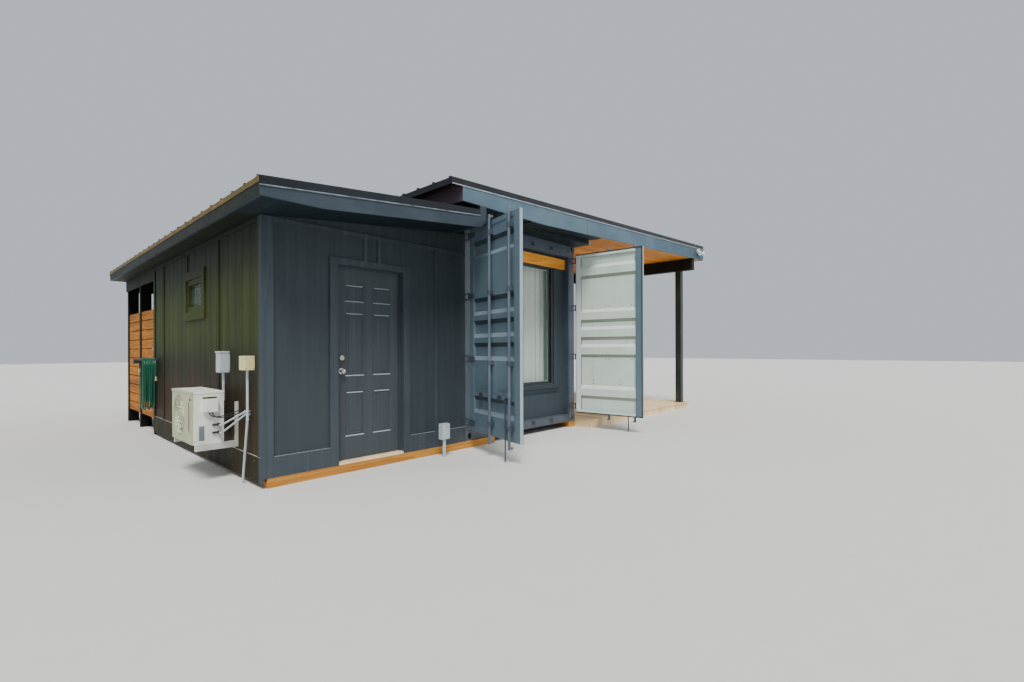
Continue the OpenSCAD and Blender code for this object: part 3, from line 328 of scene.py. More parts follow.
@dataclass(frozen=True)
class LeafPaint:
    """Two-tone door leaf: steel paint outside, cream inside, steel on the free stile; painted highlight on
    up-facing slopes and on the free edge, painted shade on down-facing slopes.

    Attributes:
        outside: Finish of the outer face.
        plan: Where the leaf stands.
        hinge_stile: Distance from the hinge at which the hinge stile ends.
        free_stile: Distance from the hinge at which the free stile starts.
        end: Distance from the hinge of the free edge.
    """

    outside: SteelPaint
    plan: LeafPlan
    hinge_stile: float = 0.119
    free_stile: float = 1.062
    end: float = 1.177

    def build(self, name: str) -> Material:
        """Makes the material."""
        s, plan = Shader(name), self.plan
        cos, sin = plan.turned()
        along = (s.x - plan.hinge_x) * (plan.side * cos) - (s.y - plan.hinge_y) * sin
        free = along.ramp(self.free_stile - 0.003, self.free_stile)
        hinged = 1 - along.ramp(self.hinge_stile - 0.003, self.hinge_stile)
        inside = s.facing((plan.side * sin, cos, 0.0)).ramp(0.05, 0.12) * (1 - free)
        # Faces that look up get a painted highlight, faces that look down painted shade.
        lift = s.facing(UP)
        painted_highlight, shaded = lift.ramp(0.2, 0.42), (lift * -1.0).ramp(0.2, 0.42)
        steel = s.coats(
            self.outside.colour(s),
            ((free + hinged) * 0.5, tone(98, 116, 126)),
            # painted highlight on the free edge's end face
            (along.ramp(self.end - 0.002, self.end - 0.001) * 0.7, tone(166, 188, 194)),
            # painted highlight on up-facing slopes, then painted shade on down-facing ones
            (painted_highlight * 0.5, tone(150, 168, 178)),
            (shaded * 0.75, tone(20, 26, 32)),
        )
        cream = s.coats(
            tone(220, 236, 224),
            (s.noise(2.6, detail=5).ramp(0.35, 0.75) * 0.6, tone(204, 220, 208)),
            (s.noise(13.0, (1, 1, 0.06), 4).ramp(0.56, 0.8) * 0.3, tone(158, 156, 132)),
            (hinged * 0.7, tone(232, 240, 240)),
            # painted highlight on up-facing slopes, then painted shade on down-facing ones
            (painted_highlight * 0.7, tone(240, 246, 242)),
            (shaded * 0.75, tone(122, 130, 104)),
            (s.noise(46.0, detail=4, rough=0.75).ramp(0.68, 0.74) * 0.5, tone(112, 92, 72)),
        )
        rough = s.noise(6.0, detail=4) * 0.22 + 0.34
        normal = s.bump(s.noise(120.0, detail=2), 0.12, 0.002, s.bump(s.noise(2.4), 0.3, 0.01))
        return s.surface(s.mix(inside, steel, cream), rough, Normal=normal)


@dataclass(frozen=True)
class SidingPaint:
    """Dark paint on grained wood panels; the shaded side is darkened as painted shade and carries algae and
    dirt, and faces that look up can get a painted highlight.

    Attributes:
        base: Colour of the paint.
        worn: Colour of worn paint.
        side_x: X outside of which the shaded side starts.
        corner_y: Y behind which the shaded side starts.
        seams: Spacing of the panel seams on the front, zero for none.
        painted_highlight: How pale faces that look up are, as a painted highlight.
    """

    base: Colour
    worn: Colour
    side_x: float = -2.474
    corner_y: float = 0.088
    seams: float = 0.0
    painted_highlight: float = 0.0

    def build(self, name: str) -> Material:
        """Makes the material."""
        s = Shader(name)
        grain = s.noise(26.0, (1, 1, 0.035), 6, 0.6)
        runs = s.noise(7.0, (1, 1, 0.05), 4).ramp(0.42, 0.72)
        dusk = (1 - s.z.ramp(0.5, 1.9)) * s.noise(1.3, detail=3).ramp(0.2, 0.6)
        beside = 1 - s.x.ramp(self.side_x - 0.006, self.side_x)
        side = beside * s.y.ramp(self.corner_y - 0.07, self.corner_y)
        streaks = s.noise(8.5, (1, 1, 0.04), 5).ramp(0.38, 0.7)
        green = s.z.ramp(0.95, 1.5) * (1 - s.z.ramp(1.8, 2.4))
        brown = 1 - s.z.ramp(0.7, 1.35)
        colour = s.coats(
            self.base,
            (grain.ramp(0.4, 0.75) * 0.45 + runs * 0.2, self.worn),
            (dusk * 0.5, s.darken(self.worn, 0.86)),
        )
        # The shaded side's colour: the dark olive coat is painted shade, the green and brown coats are algae
        # and dirt.
        shaded = s.coats(
            colour,
            (0.88, tone(24, 32, 14)),
            (green * (streaks * 0.45 + 0.5), tone(60, 70, 20)),
            (brown * (streaks * 0.5 + 0.45), tone(64, 48, 30)),
            ((1 - s.z.ramp(0.27, 0.30)) * 0.7, tone(36, 30, 12)),
        )
        colour = s.mix(side, colour, shaded)
        # Faces that look up are paled as a painted highlight.
        if self.painted_highlight:
            colour = s.mix(s.facing(UP).ramp(0.25, 0.6) * self.painted_highlight, colour, tone(176, 186, 190))
        height = grain * 0.5
        if self.seams:
            line = s.lines(s.x, self.seams, 0.004)
            colour = s.mix(line * 0.4, colour, tone(18, 20, 22))
            height = height - line * 0.3
        rough = s.noise(11.0, (1, 1, 0.2), 4) * 0.25 + 0.52
        return s.surface(colour, rough, Specular_IOR_Level=0.16, Normal=s.bump(height, 0.35, 0.004))


class Grain(Enum):
    """Direction of a timber's grain, as the stretch of its noise."""

    X = (0.05, 1.0, 1.0)
    Y = (1.0, 0.05, 1.0)


@dataclass(frozen=True)
class TimberGrain:
    """Sawn timber with growth lines, knots and weathering, one tone a board.

    Attributes:
        light: Colour of the early wood.
        dark: Colour of the late wood.
        grey: Colour of weathered wood.
        run: Direction of the grain.
        across: Axis along which boards follow each other.
        pitch: Width of a board with its gap, zero for a single one.
        weather: Share of weathering.
        rough: Least roughness of the surface.
    """

    light: Colour
    dark: Colour
    grey: Colour
    run: Grain
    across: str = "z"
    pitch: float = 0.0
    weather: float = 0.3
    rough: float = 0.55

    def build(self, name: str) -> Material:
        """Makes the material."""
        s = Shader(name)
        fine = s.noise(60.0, self.run.value, 5, 0.6)
        bands = (s.noise(11.0, self.run.value, 3, 0.45) * 7.0).fract()
        knots = s.noise(5.2, tuple(0.35 + 0.65 * v for v in self.run.value), 1).ramp(0.76, 0.82)
        colour = s.coats(
            self.light,
            (bands.ramp(0.15, 0.85) * 0.55 + fine * 0.45, self.dark),
            (knots * 0.8, tone(70, 38, 18)),
        )
        if self.pitch:
            colour = s.darken(colour, s.cell(getattr(s, self.across), self.pitch) * 0.42 + 0.72)
        colour = s.mix(s.noise(2.1, detail=5).ramp(0.4, 0.75) * self.weather, colour, self.grey)
        normal = s.bump(fine * 0.6 + bands * 0.3, 0.3, 0.003)
        return s.surface(colour, fine * 0.2 + self.rough, Specular_IOR_Level=0.2, Normal=normal)


@dataclass(frozen=True)
class RoofMetal:
    """Dark roofing steel with litter and rust at the low eave.

    Attributes:
        base: Colour of the sheet.
        worn: Colour of dull patches.
        eave: X under which the eave is brown.
    """

    base: Colour
    worn: Colour
    eave: float = -2.2

    def build(self, name: str) -> Material:
        """Makes the material."""
        s = Shader(name)
        low = (1 - s.x.ramp(self.eave - 0.45, self.eave)) * (1 - s.facing(FRONT).ramp(0.5, 0.9))
        litter = s.noise(22.0, detail=6, rough=0.7).ramp(0.42, 0.6)
        edge = (1 - s.x.ramp(-2.719, -2.70)) * s.facing(LEFT).ramp(0.5, 0.9)
        rust = s.mix(s.noise(15.0, (1, 1, 3), 4).ramp(0.4, 0.65), tone(90, 70, 14), tone(136, 112, 30))
        colour = s.coats(
            self.base,
            (s.noise(2.4, detail=5).ramp(0.35, 0.7) * 0.7, self.worn),
            (low * litter * 0.85, tone(150, 98, 42)),
            (edge * 0.9, rust),
        )
        rough = s.noise(9.0, detail=4) * 0.25 + 0.34
        normal = s.bump(s.noise(40.0, detail=3), 0.12, 0.003)
        return s.surface(colour, rough, Specular_IOR_Level=0.25, Normal=normal)


@dataclass(frozen=True)
class FasciaPaint:
    """Blue-grey board paint with joints, streaks, a dark right end, and purple and near-black coats on faces
    that look left.

    Attributes:
        base: Colour of the paint.
        worn: Colour of faded paint.
        joints: Places along X of the joints between boards.
    """

    base: Colour
    worn: Colour
    joints: tuple[float, ...] = ()

    def build(self, name: str) -> Material:
        """Makes the material."""
        s = Shader(name)
        grain = s.noise(30.0, (0.05, 0.05, 1.0), 5, 0.6)
        patches = s.noise(2.8, detail=5).ramp(0.35, 0.7)
        colour = s.mix(patches * 0.5 + grain * 0.3, self.base, self.worn)
        height = grain * 0.5
        for place in self.joints:
            line = 1 - (s.x - place).abs().ramp(0.0015, 0.005)
            colour = s.mix(line * 0.8, colour, tone(38, 42, 48))
            height = height - line
        left = s.facing(LEFT).ramp(0.5, 0.9)
        high = left * s.x.ramp(-0.62, -0.6) * (1 - s.x.ramp(0.0, 0.1))
        colour = s.coats(
            colour,
            (s.x.ramp(3.2, 6.4) * 0.6, tone(44, 70, 82)),
            (high * 0.85, s.mix(s.noise(6.0, detail=4), tone(58, 44, 58), tone(88, 52, 58))),
            (left * (1 - s.x.ramp(-2.7, -2.6)) * 0.9, tone(18, 24, 10)),
        )
        rough = s.noise(8.0, detail=4) * 0.25 + 0.48
        return s.surface(colour, rough, Specular_IOR_Level=0.22, Normal=s.bump(height, 0.25, 0.003))


@dataclass(frozen=True)
class Moulded:
    """Moulded or coated goods: plastic, powder coat and rubber.

    Attributes:
        base: Colour.
        grime: Colour of dirt.
        dirt: Share of dirt.
        rough: Roughness.
        metallic: Share of metal.
        coat: Weight of a clear coat.
        front: Colour of the front, darker as painted shade, where it differs.
        front_x: X under which the front lies.
    """

    base: Colour
    grime: Colour
    dirt: float = 0.25
    rough: float = 0.4
    metallic: float = 0.0
    coat: float = 0.0
    front: Colour | None = None
    front_x: float = -2.866

    def build(self, name: str) -> Material:
        """Makes the material."""
        s = Shader(name)
        patches = s.noise(6.0, (1, 1, 0.5), 5, 0.6).ramp(0.4, 0.75)
        fine = s.noise(48.0, detail=3).ramp(0.5, 0.8)
        base = self.base
        # The front faces take a darker colour: painted shade.
        if self.front is not None:
            base = s.mix(1 - s.x.ramp(self.front_x - 0.003, self.front_x), base, self.front)
        colour = s.mix(patches * self.dirt + fine * (0.4 * self.dirt), base, self.grime)
        rough = s.noise(12.0, detail=3) * 0.2 + (self.rough - 0.08)
        normal = s.bump(s.noise(160.0, detail=2), 0.08, 0.001)
        return s.surface(colour, rough, Metallic=self.metallic, Coat_Weight=self.coat, Normal=normal)


@dataclass(frozen=True)
class ClearPane:
    """Window glass with faint smears.

    Attributes:
        tint: Colour of the glass.
        body: How much of what is behind it the glass hides.
    """

    tint: Colour
    body: float = 0.14

    def build(self, name: str) -> Material:
        """Makes the material."""
        s = Shader(name)
        smears = s.noise(7.0, (1, 1, 0.4), 4).ramp(0.5, 0.85)
        return s.surface(self.tint, smears * 0.06 + 0.03, Alpha=smears * 0.1 + self.body, IOR=1.45)


@dataclass(frozen=True)
class WovenCloth:
    """White curtain cloth with a plain weave on its own map, and painted shade in the valleys between its
    folds.

    Attributes:
        base: Colour of the cloth.
        shade: Colour of threads in shade.
        threads: Threads over the map's whole width.
        folds: Folds over the map's whole width, whose valleys get painted shade.
    """

    base: Colour
    shade: Colour
    threads: float = 900.0
    folds: float = 6.0

    def build(self, name: str) -> Material:
        """Makes the material."""
        s = Shader(name)
        across, down, _ = s.split("UV")
        weft, warp = (((way * self.threads).fract() - 0.5).abs() for way in (across, down))
        weave = weft * warp * 4
        soft = s.noise(3.0, (1, 1, 0.15), 4)
        # Darker valleys between the folds: painted shade.
        valley = ((across * self.folds + 0.15).fract() - 0.5).abs().ramp(0.22, 0.5)
        colour = s.coats(
            self.base, (weave * 0.25 + soft * 0.3, self.shade), (valley * 0.6, tone(132, 148, 132))
        )
        return s.surface(colour, soft * 0.1 + 0.82, Sheen_Weight=0.25, Normal=s.bump(weave, 0.15, 0.0006))


def facing_mesh(name: str, build: Builder) -> Mesh:
    """Makes a closed mesh whose faces point outwards.

    Args:
        name: Name of the mesh.
        build: Fills the given bmesh.

    Returns:
        The mesh.
    """
    work = bmesh.new()
    build(work)
    bmesh.ops.remove_doubles(work, verts=work.verts, dist=1e-6)
    bmesh.ops.recalc_face_normals(work, faces=work.faces)
    mesh = bpy.data.meshes.new(name)
    work.to_mesh(mesh)
    work.free()
    return mesh


def settle(
    name: str, mesh: Mesh, body: str, material: Material, smooth: bool = False
) -> bpy.types.Object:
    """Puts a finished mesh on its body with its finish.

    Args:
        name: Name of the piece.
        mesh: Its mesh, in the row frame.
        body: Body that it rides on.
        material: Its finish.
        smooth: Whether its faces are shaded smooth.

    Returns:
        The piece.
    """
    mesh.materials.clear()
    mesh.materials.append(material)
    if smooth:
        mesh.shade_smooth()
    made = bpy.data.objects.new(name, mesh)
    bpy.context.scene.collection.objects.link(made)
    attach(made, body)
    log.info("%s rides on %s, %d faces", name, body, len(mesh.polygons))
    return made


def fit(name: str, build: Builder, material: Material, body: str = "cabin") -> bpy.types.Object:
    """Makes a closed piece and puts it on its body.

    Args:
        name: Name of the piece.
        build: Fills the piece's bmesh.
        material: Its finish.
        body: Body that it rides on.

    Returns:
        The piece.
    """
    return settle(name, facing_mesh(name, build), body, material)


def add_box(work: Work, low: Triple, high: Triple, bevel: float = 0.0) -> None:
    """Adds a box, with its edges rounded off where a bevel is given."""
    made = bmesh.ops.create_cube(work, size=1.0)["verts"]
    for vert in made:
        for i in range(3):
            vert.co[i] = (low[i] + high[i]) / 2 + vert.co[i] * (high[i] - low[i])
    if bevel:
        edges = {edge for vert in made for edge in vert.link_edges}
        bmesh.ops.bevel(work, geom=list(edges), offset=bevel, segments=2, profile=0.5, affect="EDGES")


def boxes(*parts: Corners) -> Builder:
    """A builder of boxes, each given by two corners and, if wanted, its bevel."""

    def build(work: Work) -> None:
        """Adds the boxes."""
        for part in parts:
            add_box(work, *part)

    return build


def add_rod(work: Work, start: Vector, end: Vector, r0: float, r1: float, sides: int = 20) -> None:
    """Adds a round or tapered rod between two points."""
    run = end - start
    place = Matrix.Translation((start + end) / 2) @ run.to_track_quat("Z", "Y").to_matrix().to_4x4()
    sizes = {"segments": sides, "radius1": r0, "radius2": r1, "depth": run.length}
    bmesh.ops.create_cone(work, cap_ends=True, matrix=place, **sizes)


def add_prism(
    work: Work,
    outline: Sequence[Pair],
    place: Callable[[float, float, float], Triple],
    start: float,
    end: float,
) -> None:
    """Adds a prism over an outline.

    Args:
        work: The bmesh to fill.
        outline: Points of the outline.
        place: Gives a point from the outline's two numbers and the depth.
        start: First depth.
        end: Last depth.
    """
    rows = [[work.verts.new(place(a, b, depth)) for a, b in outline] for depth in (start, end)]
    work.faces.new(rows[0])
    work.faces.new(list(reversed(rows[1])))
    add_ring(work, rows[0], rows[1])


def add_ring(work: Work, first: Sequence[bmesh.types.BMVert], second: Sequence[bmesh.types.BMVert]) -> None:
    """Adds the faces between two closed rows of corners."""
    for i in range(len(first)):
        j = (i + 1) % len(first)
        work.faces.new([first[i], first[j], second[j], second[i]])


class GrowthTree:
    """A geometry tree with named inputs, ready to be filled with nodes."""

    def __init__(self, name: str, **inputs: str) -> None:
        """Starts a tree.

        Args:
            name: Name of the tree.
            inputs: Kinds of its sockets by input name; a material comes last.
        """
        self.tree = bpy.data.node_groups.new(name, "GeometryNodeTree")
        face = self.tree.interface
        for key, kind in {"Geometry": "Geometry", **inputs, "Material": "Material"}.items():
            face.new_socket(key, in_out="INPUT", socket_type="NodeSocket" + kind)
        face.new_socket("Geometry", in_out="OUTPUT", socket_type="NodeSocketGeometry")
        self.start = self.tree.nodes.new("NodeGroupInput")
        self.end = self.tree.nodes.new("NodeGroupOutput")

    def __getitem__(self, key: str) -> bpy.types.NodeSocket:
        """The socket of a named input."""
        return self.start.outputs[key]

    def node(
        self, kind: str, inputs: dict[str | int, object], **settings: object
    ) -> bpy.types.NodeSocket:
        """Adds a node.

        Args:
            kind: Blender's type name of the node.
            inputs: Values or sockets by the input's name or number.
            settings: Attributes that are set first.

        Returns:
            The node's first output.
        """
        made = self.tree.nodes.new(kind)
        for key, value in settings.items():
            setattr(made, key, value)
        for key, value in inputs.items():
            if isinstance(value, bpy.types.NodeSocket):
                self.tree.links.new(value, made.inputs[key])
            else:
                made.inputs[key].default_value = value
        return made.outputs[0]

    def close(
        self, points: bpy.types.NodeSocket, piece: bpy.types.NodeSocket, **inputs: bpy.types.NodeSocket
    ) -> bpy.types.NodeTree:
        """Ends the tree: the piece on every point, in real meshes with their finish."""
        laid = self.node("GeometryNodeInstanceOnPoints", {"Points": points, "Instance": piece, **inputs})
        real = self.node("GeometryNodeRealizeInstances", {"Geometry": laid})
        dressed = self.node("GeometryNodeSetMaterial", {"Geometry": real, "Material": self["Material"]})
        self.tree.links.new(dressed, self.end.inputs[0])
        return self.tree


class Growth:
    """Geometry trees that make what repeats: boards in rows, fasteners on points, litter."""

    def __init__(self) -> None:
        """Builds the three trees."""
        self.rows = self._board_rows()
        self.heads = self._fastener_heads()
        self.litter = self._litter()

    def _board_rows(self) -> bpy.types.NodeTree:
        """Tree of equal boards that follow each other in a row."""
        g = GrowthTree("board_rows", Count="Int", First="Vector", Step="Vector", Size="Vector")
        places = {"Count": g["Count"], "Start Location": g["First"], "Offset": g["Step"]}
        line = g.node("GeometryNodeMeshLine", places, mode="OFFSET")
        return g.close(line, g.node("GeometryNodeMeshCube", {"Size": g["Size"]}))

    def _fastener_heads(self) -> bpy.types.NodeTree:
        """Tree of domed heads on points that carry their direction."""
        crown = 0.72
        g = GrowthTree("fastener_heads", Radius="Float", Height="Float", Sides="Int")
        top = g.node("ShaderNodeMath", {0: g["Radius"], 1: crown}, operation="MULTIPLY")
        sizes = {"Radius Top": top, "Radius Bottom": g["Radius"], "Depth": g["Height"]}
        head = g.node("GeometryNodeMeshCone", {"Vertices": g["Sides"], **sizes})
        axis = g.node("GeometryNodeInputNamedAttribute", {"Name": "axis"}, data_type="FLOAT_VECTOR")
        turn = g.node("FunctionNodeAlignRotationToVector", {"Vector": axis}, axis="Z")
        return g.close(g["Geometry"], head, Rotation=turn)

    def _litter(self) -> bpy.types.NodeTree:
        """Tree of fallen leaves and needles spread over a face."""
        g = GrowthTree("roof_litter", Density="Float", Length="Float", Seed="Int")
        places = {"Mesh": g["Geometry"], "Density": g["Density"], "Seed": g["Seed"]}
        spread = g.node("GeometryNodeDistributePointsOnFaces", places)
        sizes = {"Vertices": 5, "Radius Top": 0.3, "Radius Bottom": 0.5, "Depth": 0.16}
        flake = g.node("GeometryNodeMeshCone", sizes)
        turn, size = (
            g.node("FunctionNodeRandomValue", {0: low, 1: high, "Seed": g["Seed"]}, data_type="FLOAT_VECTOR")
            for low, high in (((-0.35, -0.35, 0.0), (0.35, 0.35, 6.28)), ((0.5, 0.25, 0.4), (1.3, 0.7, 1.0)))
        )
        scaled = g.node("ShaderNodeVectorMath", {0: size, "Scale": g["Length"]}, operation="SCALE")
        return g.close(spread, flake, Rotation=turn, Scale=scaled)

    def run(self, tree: bpy.types.NodeTree, base: Mesh, values: dict[str, object]) -> Mesh:
        """Runs a tree on a mesh.

        Args:
            tree: One of the three trees.
            base: Mesh that the tree starts from.
            values: The tree's inputs by name.

        Returns:
            The finished plain mesh.
        """
        carrier = bpy.data.objects.new("growing", base)
        bpy.context.scene.collection.objects.link(carrier)
        modifier = carrier.modifiers.new("growth", "NODES")
        modifier.node_group = tree
        for item in tree.interface.items_tree:
            if item.in_out == "INPUT" and item.name in values:
                modifier[item.identifier] = values[item.name]
        graph = bpy.context.evaluated_depsgraph_get()
        mesh = bpy.data.meshes.new_from_object(carrier.evaluated_get(graph))
        carrier.modifiers.clear()
        bpy.data.objects.remove(carrier)
        return mesh

    def boards(self, count: int, first: Triple, step: Triple, size: Triple, material: Material) -> Mesh:
        """A row of equal boards, given by the first one's middle."""
        values = {"Count": count, "First": first, "Step": step, "Size": size, "Material": material}
        return self.run(self.rows, bpy.data.meshes.new("row"), values)

    def fasteners(
        self,
        places: Sequence[tuple[Triple, Triple]],
        radius: float,
        height: float,
        sides: int,
        material: Material,
    ) -> Mesh:
        """Domed heads at places, each with the direction that it points in."""
        base = bpy.data.meshes.new("points")
        base.from_pydata([place for place, _ in places], [], [])
        axis = base.attributes.new("axis", "FLOAT_VECTOR", "POINT")
        axis.data.foreach_set("vector", [v for _, way in places for v in way])
        values = {"Radius": radius, "Height": height, "Sides": sides, "Material": material}
        return self.run(self.heads, base, values)


def joined(name: str, meshes: Sequence[Mesh]) -> Mesh:
    """One mesh from several, each in the row frame."""
    work = bmesh.new()
    for mesh in meshes:
        work.from_mesh(mesh)
    whole = bpy.data.meshes.new(name)
    work.to_mesh(whole)
    work.free()
    return whole


@dataclass
class FinishBook:
    """Every finish of the cabin, made once."""

    made: dict[str, Material] = field(default_factory=dict)

    def build(self) -> None:
        """Makes the finishes."""
        steel = SteelPaint(tone(58, 68, 80), tone(82, 94, 108))
        leaf_steel = SteelPaint(tone(92, 112, 124), tone(112, 132, 142), 0.6)
        grey_wood = tone(120, 110, 98)
        recipes: dict[str, object] = {
            "steel": steel,
            "left_leaf": LeafPaint(leaf_steel, LEAVES["left"]),
            "right_leaf": LeafPaint(leaf_steel, LEAVES["right"]),
            "bars": SteelPaint(tone(84, 96, 110), tone(120, 130, 142), 0.7),
            "roof_steel": SteelPaint(tone(58, 62, 66), tone(84, 86, 88), 1.0),
            "siding": SidingPaint(tone(54, 61, 66), tone(66, 74, 78), seams=0.6097),
            "glazed": SidingPaint(tone(56, 65, 72), tone(70, 80, 86)),
            # trim and door: their up-facing faces get a painted highlight.
            "trim": SidingPaint(tone(56, 64, 70), tone(78, 87, 92), -2.47, painted_highlight=0.7),
            "enclosure": SidingPaint(tone(8, 8, 4), tone(20, 18, 10)),
            "door": SidingPaint(tone(64, 70, 75), tone(78, 85, 90), painted_highlight=0.9),
            "olive": SidingPaint(tone(62, 66, 46), tone(84, 82, 52)),
            "vinyl": Moulded(tone(24, 26, 28), tone(70, 72, 74), 0.12, 0.32, coat=0.3),
            "glass": ClearPane(tone(150, 180, 160)),
            "curtain": WovenCloth(tone(252, 252, 246), tone(226, 228, 220)),
            "cedar": TimberGrain(
                tone(242, 164, 44), tone(186, 108, 16), grey_wood, Grain.X, "y", 0.14, 0.04
            ),
            "cedar_board": TimberGrain(
                tone(255, 178, 66), tone(212, 122, 30), grey_wood, Grain.X, weather=0.05
            ),
            "slats": TimberGrain(
                tone(200, 126, 12), tone(140, 76, 2), tone(112, 78, 18), Grain.Y, "z", 0.154, 0.2
            ),
            "treated": TimberGrain(
                tone(206, 146, 66), tone(164, 102, 38), tone(138, 112, 66), Grain.X, weather=0.35
            ),
            "joist": TimberGrain(tone(206, 190, 160), tone(180, 160, 128), grey_wood, Grain.X, weather=0.3),
            "deck": TimberGrain(
                tone(255, 228, 180), tone(236, 202, 150), tone(216, 194, 160), Grain.Y, "x", 0.146, 0.4
            ),
            "plywood": TimberGrain(tone(196, 164, 118), tone(168, 132, 88), grey_wood, Grain.Y, weather=0.2),
            "roof": RoofMetal(tone(14, 19, 25), tone(28, 34, 40)),
            "fascia": FasciaPaint(tone(76, 98, 112), tone(98, 120, 132), (1.935, 4.60)),
            "annex_fascia": FasciaPaint(tone(48, 58, 66), tone(66, 76, 84)),
            "drip": Moulded(tone(84, 68, 16), tone(132, 108, 36), 0.6, 0.6),
            # dull_hem and hem: pale, a painted highlight on the roof trims' hems; hem also colours the
            # glazing bead.
            "dull_hem": Moulded(tone(128, 142, 152), tone(40, 50, 58), 0.95, 0.5),
            "hem": Moulded(tone(170, 178, 184), tone(90, 96, 100), 0.5, 0.4, 0.3),
            "post": SteelPaint(tone(28, 40, 36), tone(46, 56, 50), 0.2),
            "beam": SidingPaint(tone(26, 27, 24), tone(40, 41, 38)),
            "soffit": SidingPaint(tone(24, 36, 41), tone(38, 52, 57)),
            # unit: its darker front is painted shade.
            "unit": Moulded(tone(240, 242, 228), tone(132, 138, 92), 0.3, 0.42, front=tone(184, 186, 146)),
            "bracket": Moulded(tone(206, 204, 196), tone(140, 126, 106), 0.45, 0.4),
            "box_grey": Moulded(tone(186, 194, 196), tone(120, 124, 118), 0.3, 0.42),
            "box_beige": Moulded(tone(230, 218, 160), tone(160, 146, 96), 0.3, 0.45),
            "white": Moulded(tone(232, 234, 232), tone(170, 166, 150), 0.25, 0.35),
            "threshold": Moulded(tone(252, 226, 180), tone(176, 142, 92), 0.4, 0.45),
            "hose": Moulded(tone(4, 88, 62), tone(10, 54, 38), 0.3, 0.4, coat=0.1),
            "hose_end": Moulded(tone(196, 190, 150), tone(120, 110, 80), 0.3, 0.4),
            "hanger": Moulded(tone(34, 36, 46), tone(80, 78, 74), 0.3, 0.5),
            "nickel": Moulded(tone(190, 186, 178), tone(110, 104, 96), 0.15, 0.26, 1.0),
            "valve": Moulded(tone(78, 76, 66), tone(40, 38, 34), 0.5, 0.4, 0.8),
            "vent": Moulded(tone(128, 138, 142), tone(88, 92, 84), 0.4, 0.5),
            "rubber": Moulded(tone(22, 23, 25), tone(64, 62, 58), 0.3, 0.62),
            # Near-black: painted shade inside the air conditioner's openings.
            "hole_shade": Moulded(tone(16, 17, 18), tone(44, 42, 38), 0.3, 0.7),
            "slit": Moulded(tone(108, 84, 76), tone(60, 50, 46), 0.5, 0.6),
            "bolt": Moulded(tone(112, 118, 124), tone(104, 72, 48), 0.5, 0.42, 0.8),
            "litter": Moulded(tone(158, 106, 48), tone(104, 92, 40), 0.8, 0.8),
            # Colour of a painted highlight on the base board's top edge.
            "ledge_highlight": Moulded(tone(168, 160, 146), tone(104, 98, 88), 0.6, 0.7),
        }
        for key, recipe in recipes.items():
            self.made[key] = recipe.build("finish_" + key)
        log.info("%d finishes made", len(self.made))

    def __getitem__(self, key: str) -> Material:
        """The finish of a name."""
        return self.made[key]

    def dress_frame(self) -> None:
        """Gives every carried-over solid its finish."""
        wear = {
            "steel": (
                "container_posts container_end_rails container_side_rails container_left_wall "
                "container_right_wall container_back_wall cargo_hinge_lugs "
                "left_door_fittings right_door_fittings"
            ),
            "roof_steel": "container_roof",
            "plywood": "container_floor annex_floor",
            "glazed": "glazed_wall",
            "vinyl": "large_window_frame",
            "glass": "window_glass",
            "cedar_board": "cedar_header",
            "nickel": "curtain_rod annex_door_fittings",
            "curtain": "curtain",
            "left_leaf": "left_cargo_door",
            "right_leaf": "right_cargo_door",
            "bars": "left_outer_bar left_inner_bar right_outer_bar right_inner_bar",
            "treated": "front_timber support_timbers",
            "siding": "annex_front_wall annex_wall_head annex_back_wall annex_side_wall",
            "trim": "annex_door_frame annex_trim",
            "enclosure": "enclosure_posts enclosure_header",
            "threshold": "annex_threshold",
            "door": "annex_door",
            "olive": "side_window_frame",
            "roof": "annex_roof_sheet main_roof_sheet",
            "annex_fascia": "annex_fascia",
            "fascia": "main_fascia_boards",
            "slats": "slat_panels",
            "soffit": "front_soffit annex_roof_frame main_roof_frame porch_ceiling",
            "beam": "porch_beam",
            "post": "porch_posts",
            "deck": "porch_deck",
            "white": "floodlight",
            "unit": "air_conditioner",
            "bracket": "air_conditioner_bracket",
            "box_grey": "wall_services",
            "hanger": "hose_hanger",
            "hose": "hose_loops",
        }
        for key, names in wear.items():
            for name in names.split():
                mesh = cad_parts[name].data
                mesh.materials.clear()
                mesh.materials.append(self.made[key])


@dataclass
class ViewPoint:
    """The camera at the photographer's place.

    Attributes:
        place: Its position.
        heading: Turn about the upright axis in degrees.
        roll: Small roll in radians.
        lens: Focal length in millimetres on a 36 mm sensor.
        shift: Upward shift of the frame.
    """

    place: Triple = (-4.179, -4.698, 1.280)
    heading: float = -47.24
    roll: float = -0.0026
    lens: float = 16.97
    shift: float = 0.0081

    def build(self) -> None:
        """Makes the camera."""
        data = bpy.data.cameras.new("photo_view")
        data.lens = self.lens
        data.sensor_width = 36.0
        data.shift_y = self.shift
        made = bpy.data.objects.new("photo_view", data)
        turn = Matrix.Rotation(math.radians(self.heading), 4, "Z") @ Matrix.Rotation(math.pi / 2, 4, "X")
        made.matrix_world = Matrix.Translation(self.place) @ turn @ Matrix.Rotation(self.roll, 4, "Z")
        bpy.context.scene.collection.objects.link(made)
        bpy.context.scene.camera = made


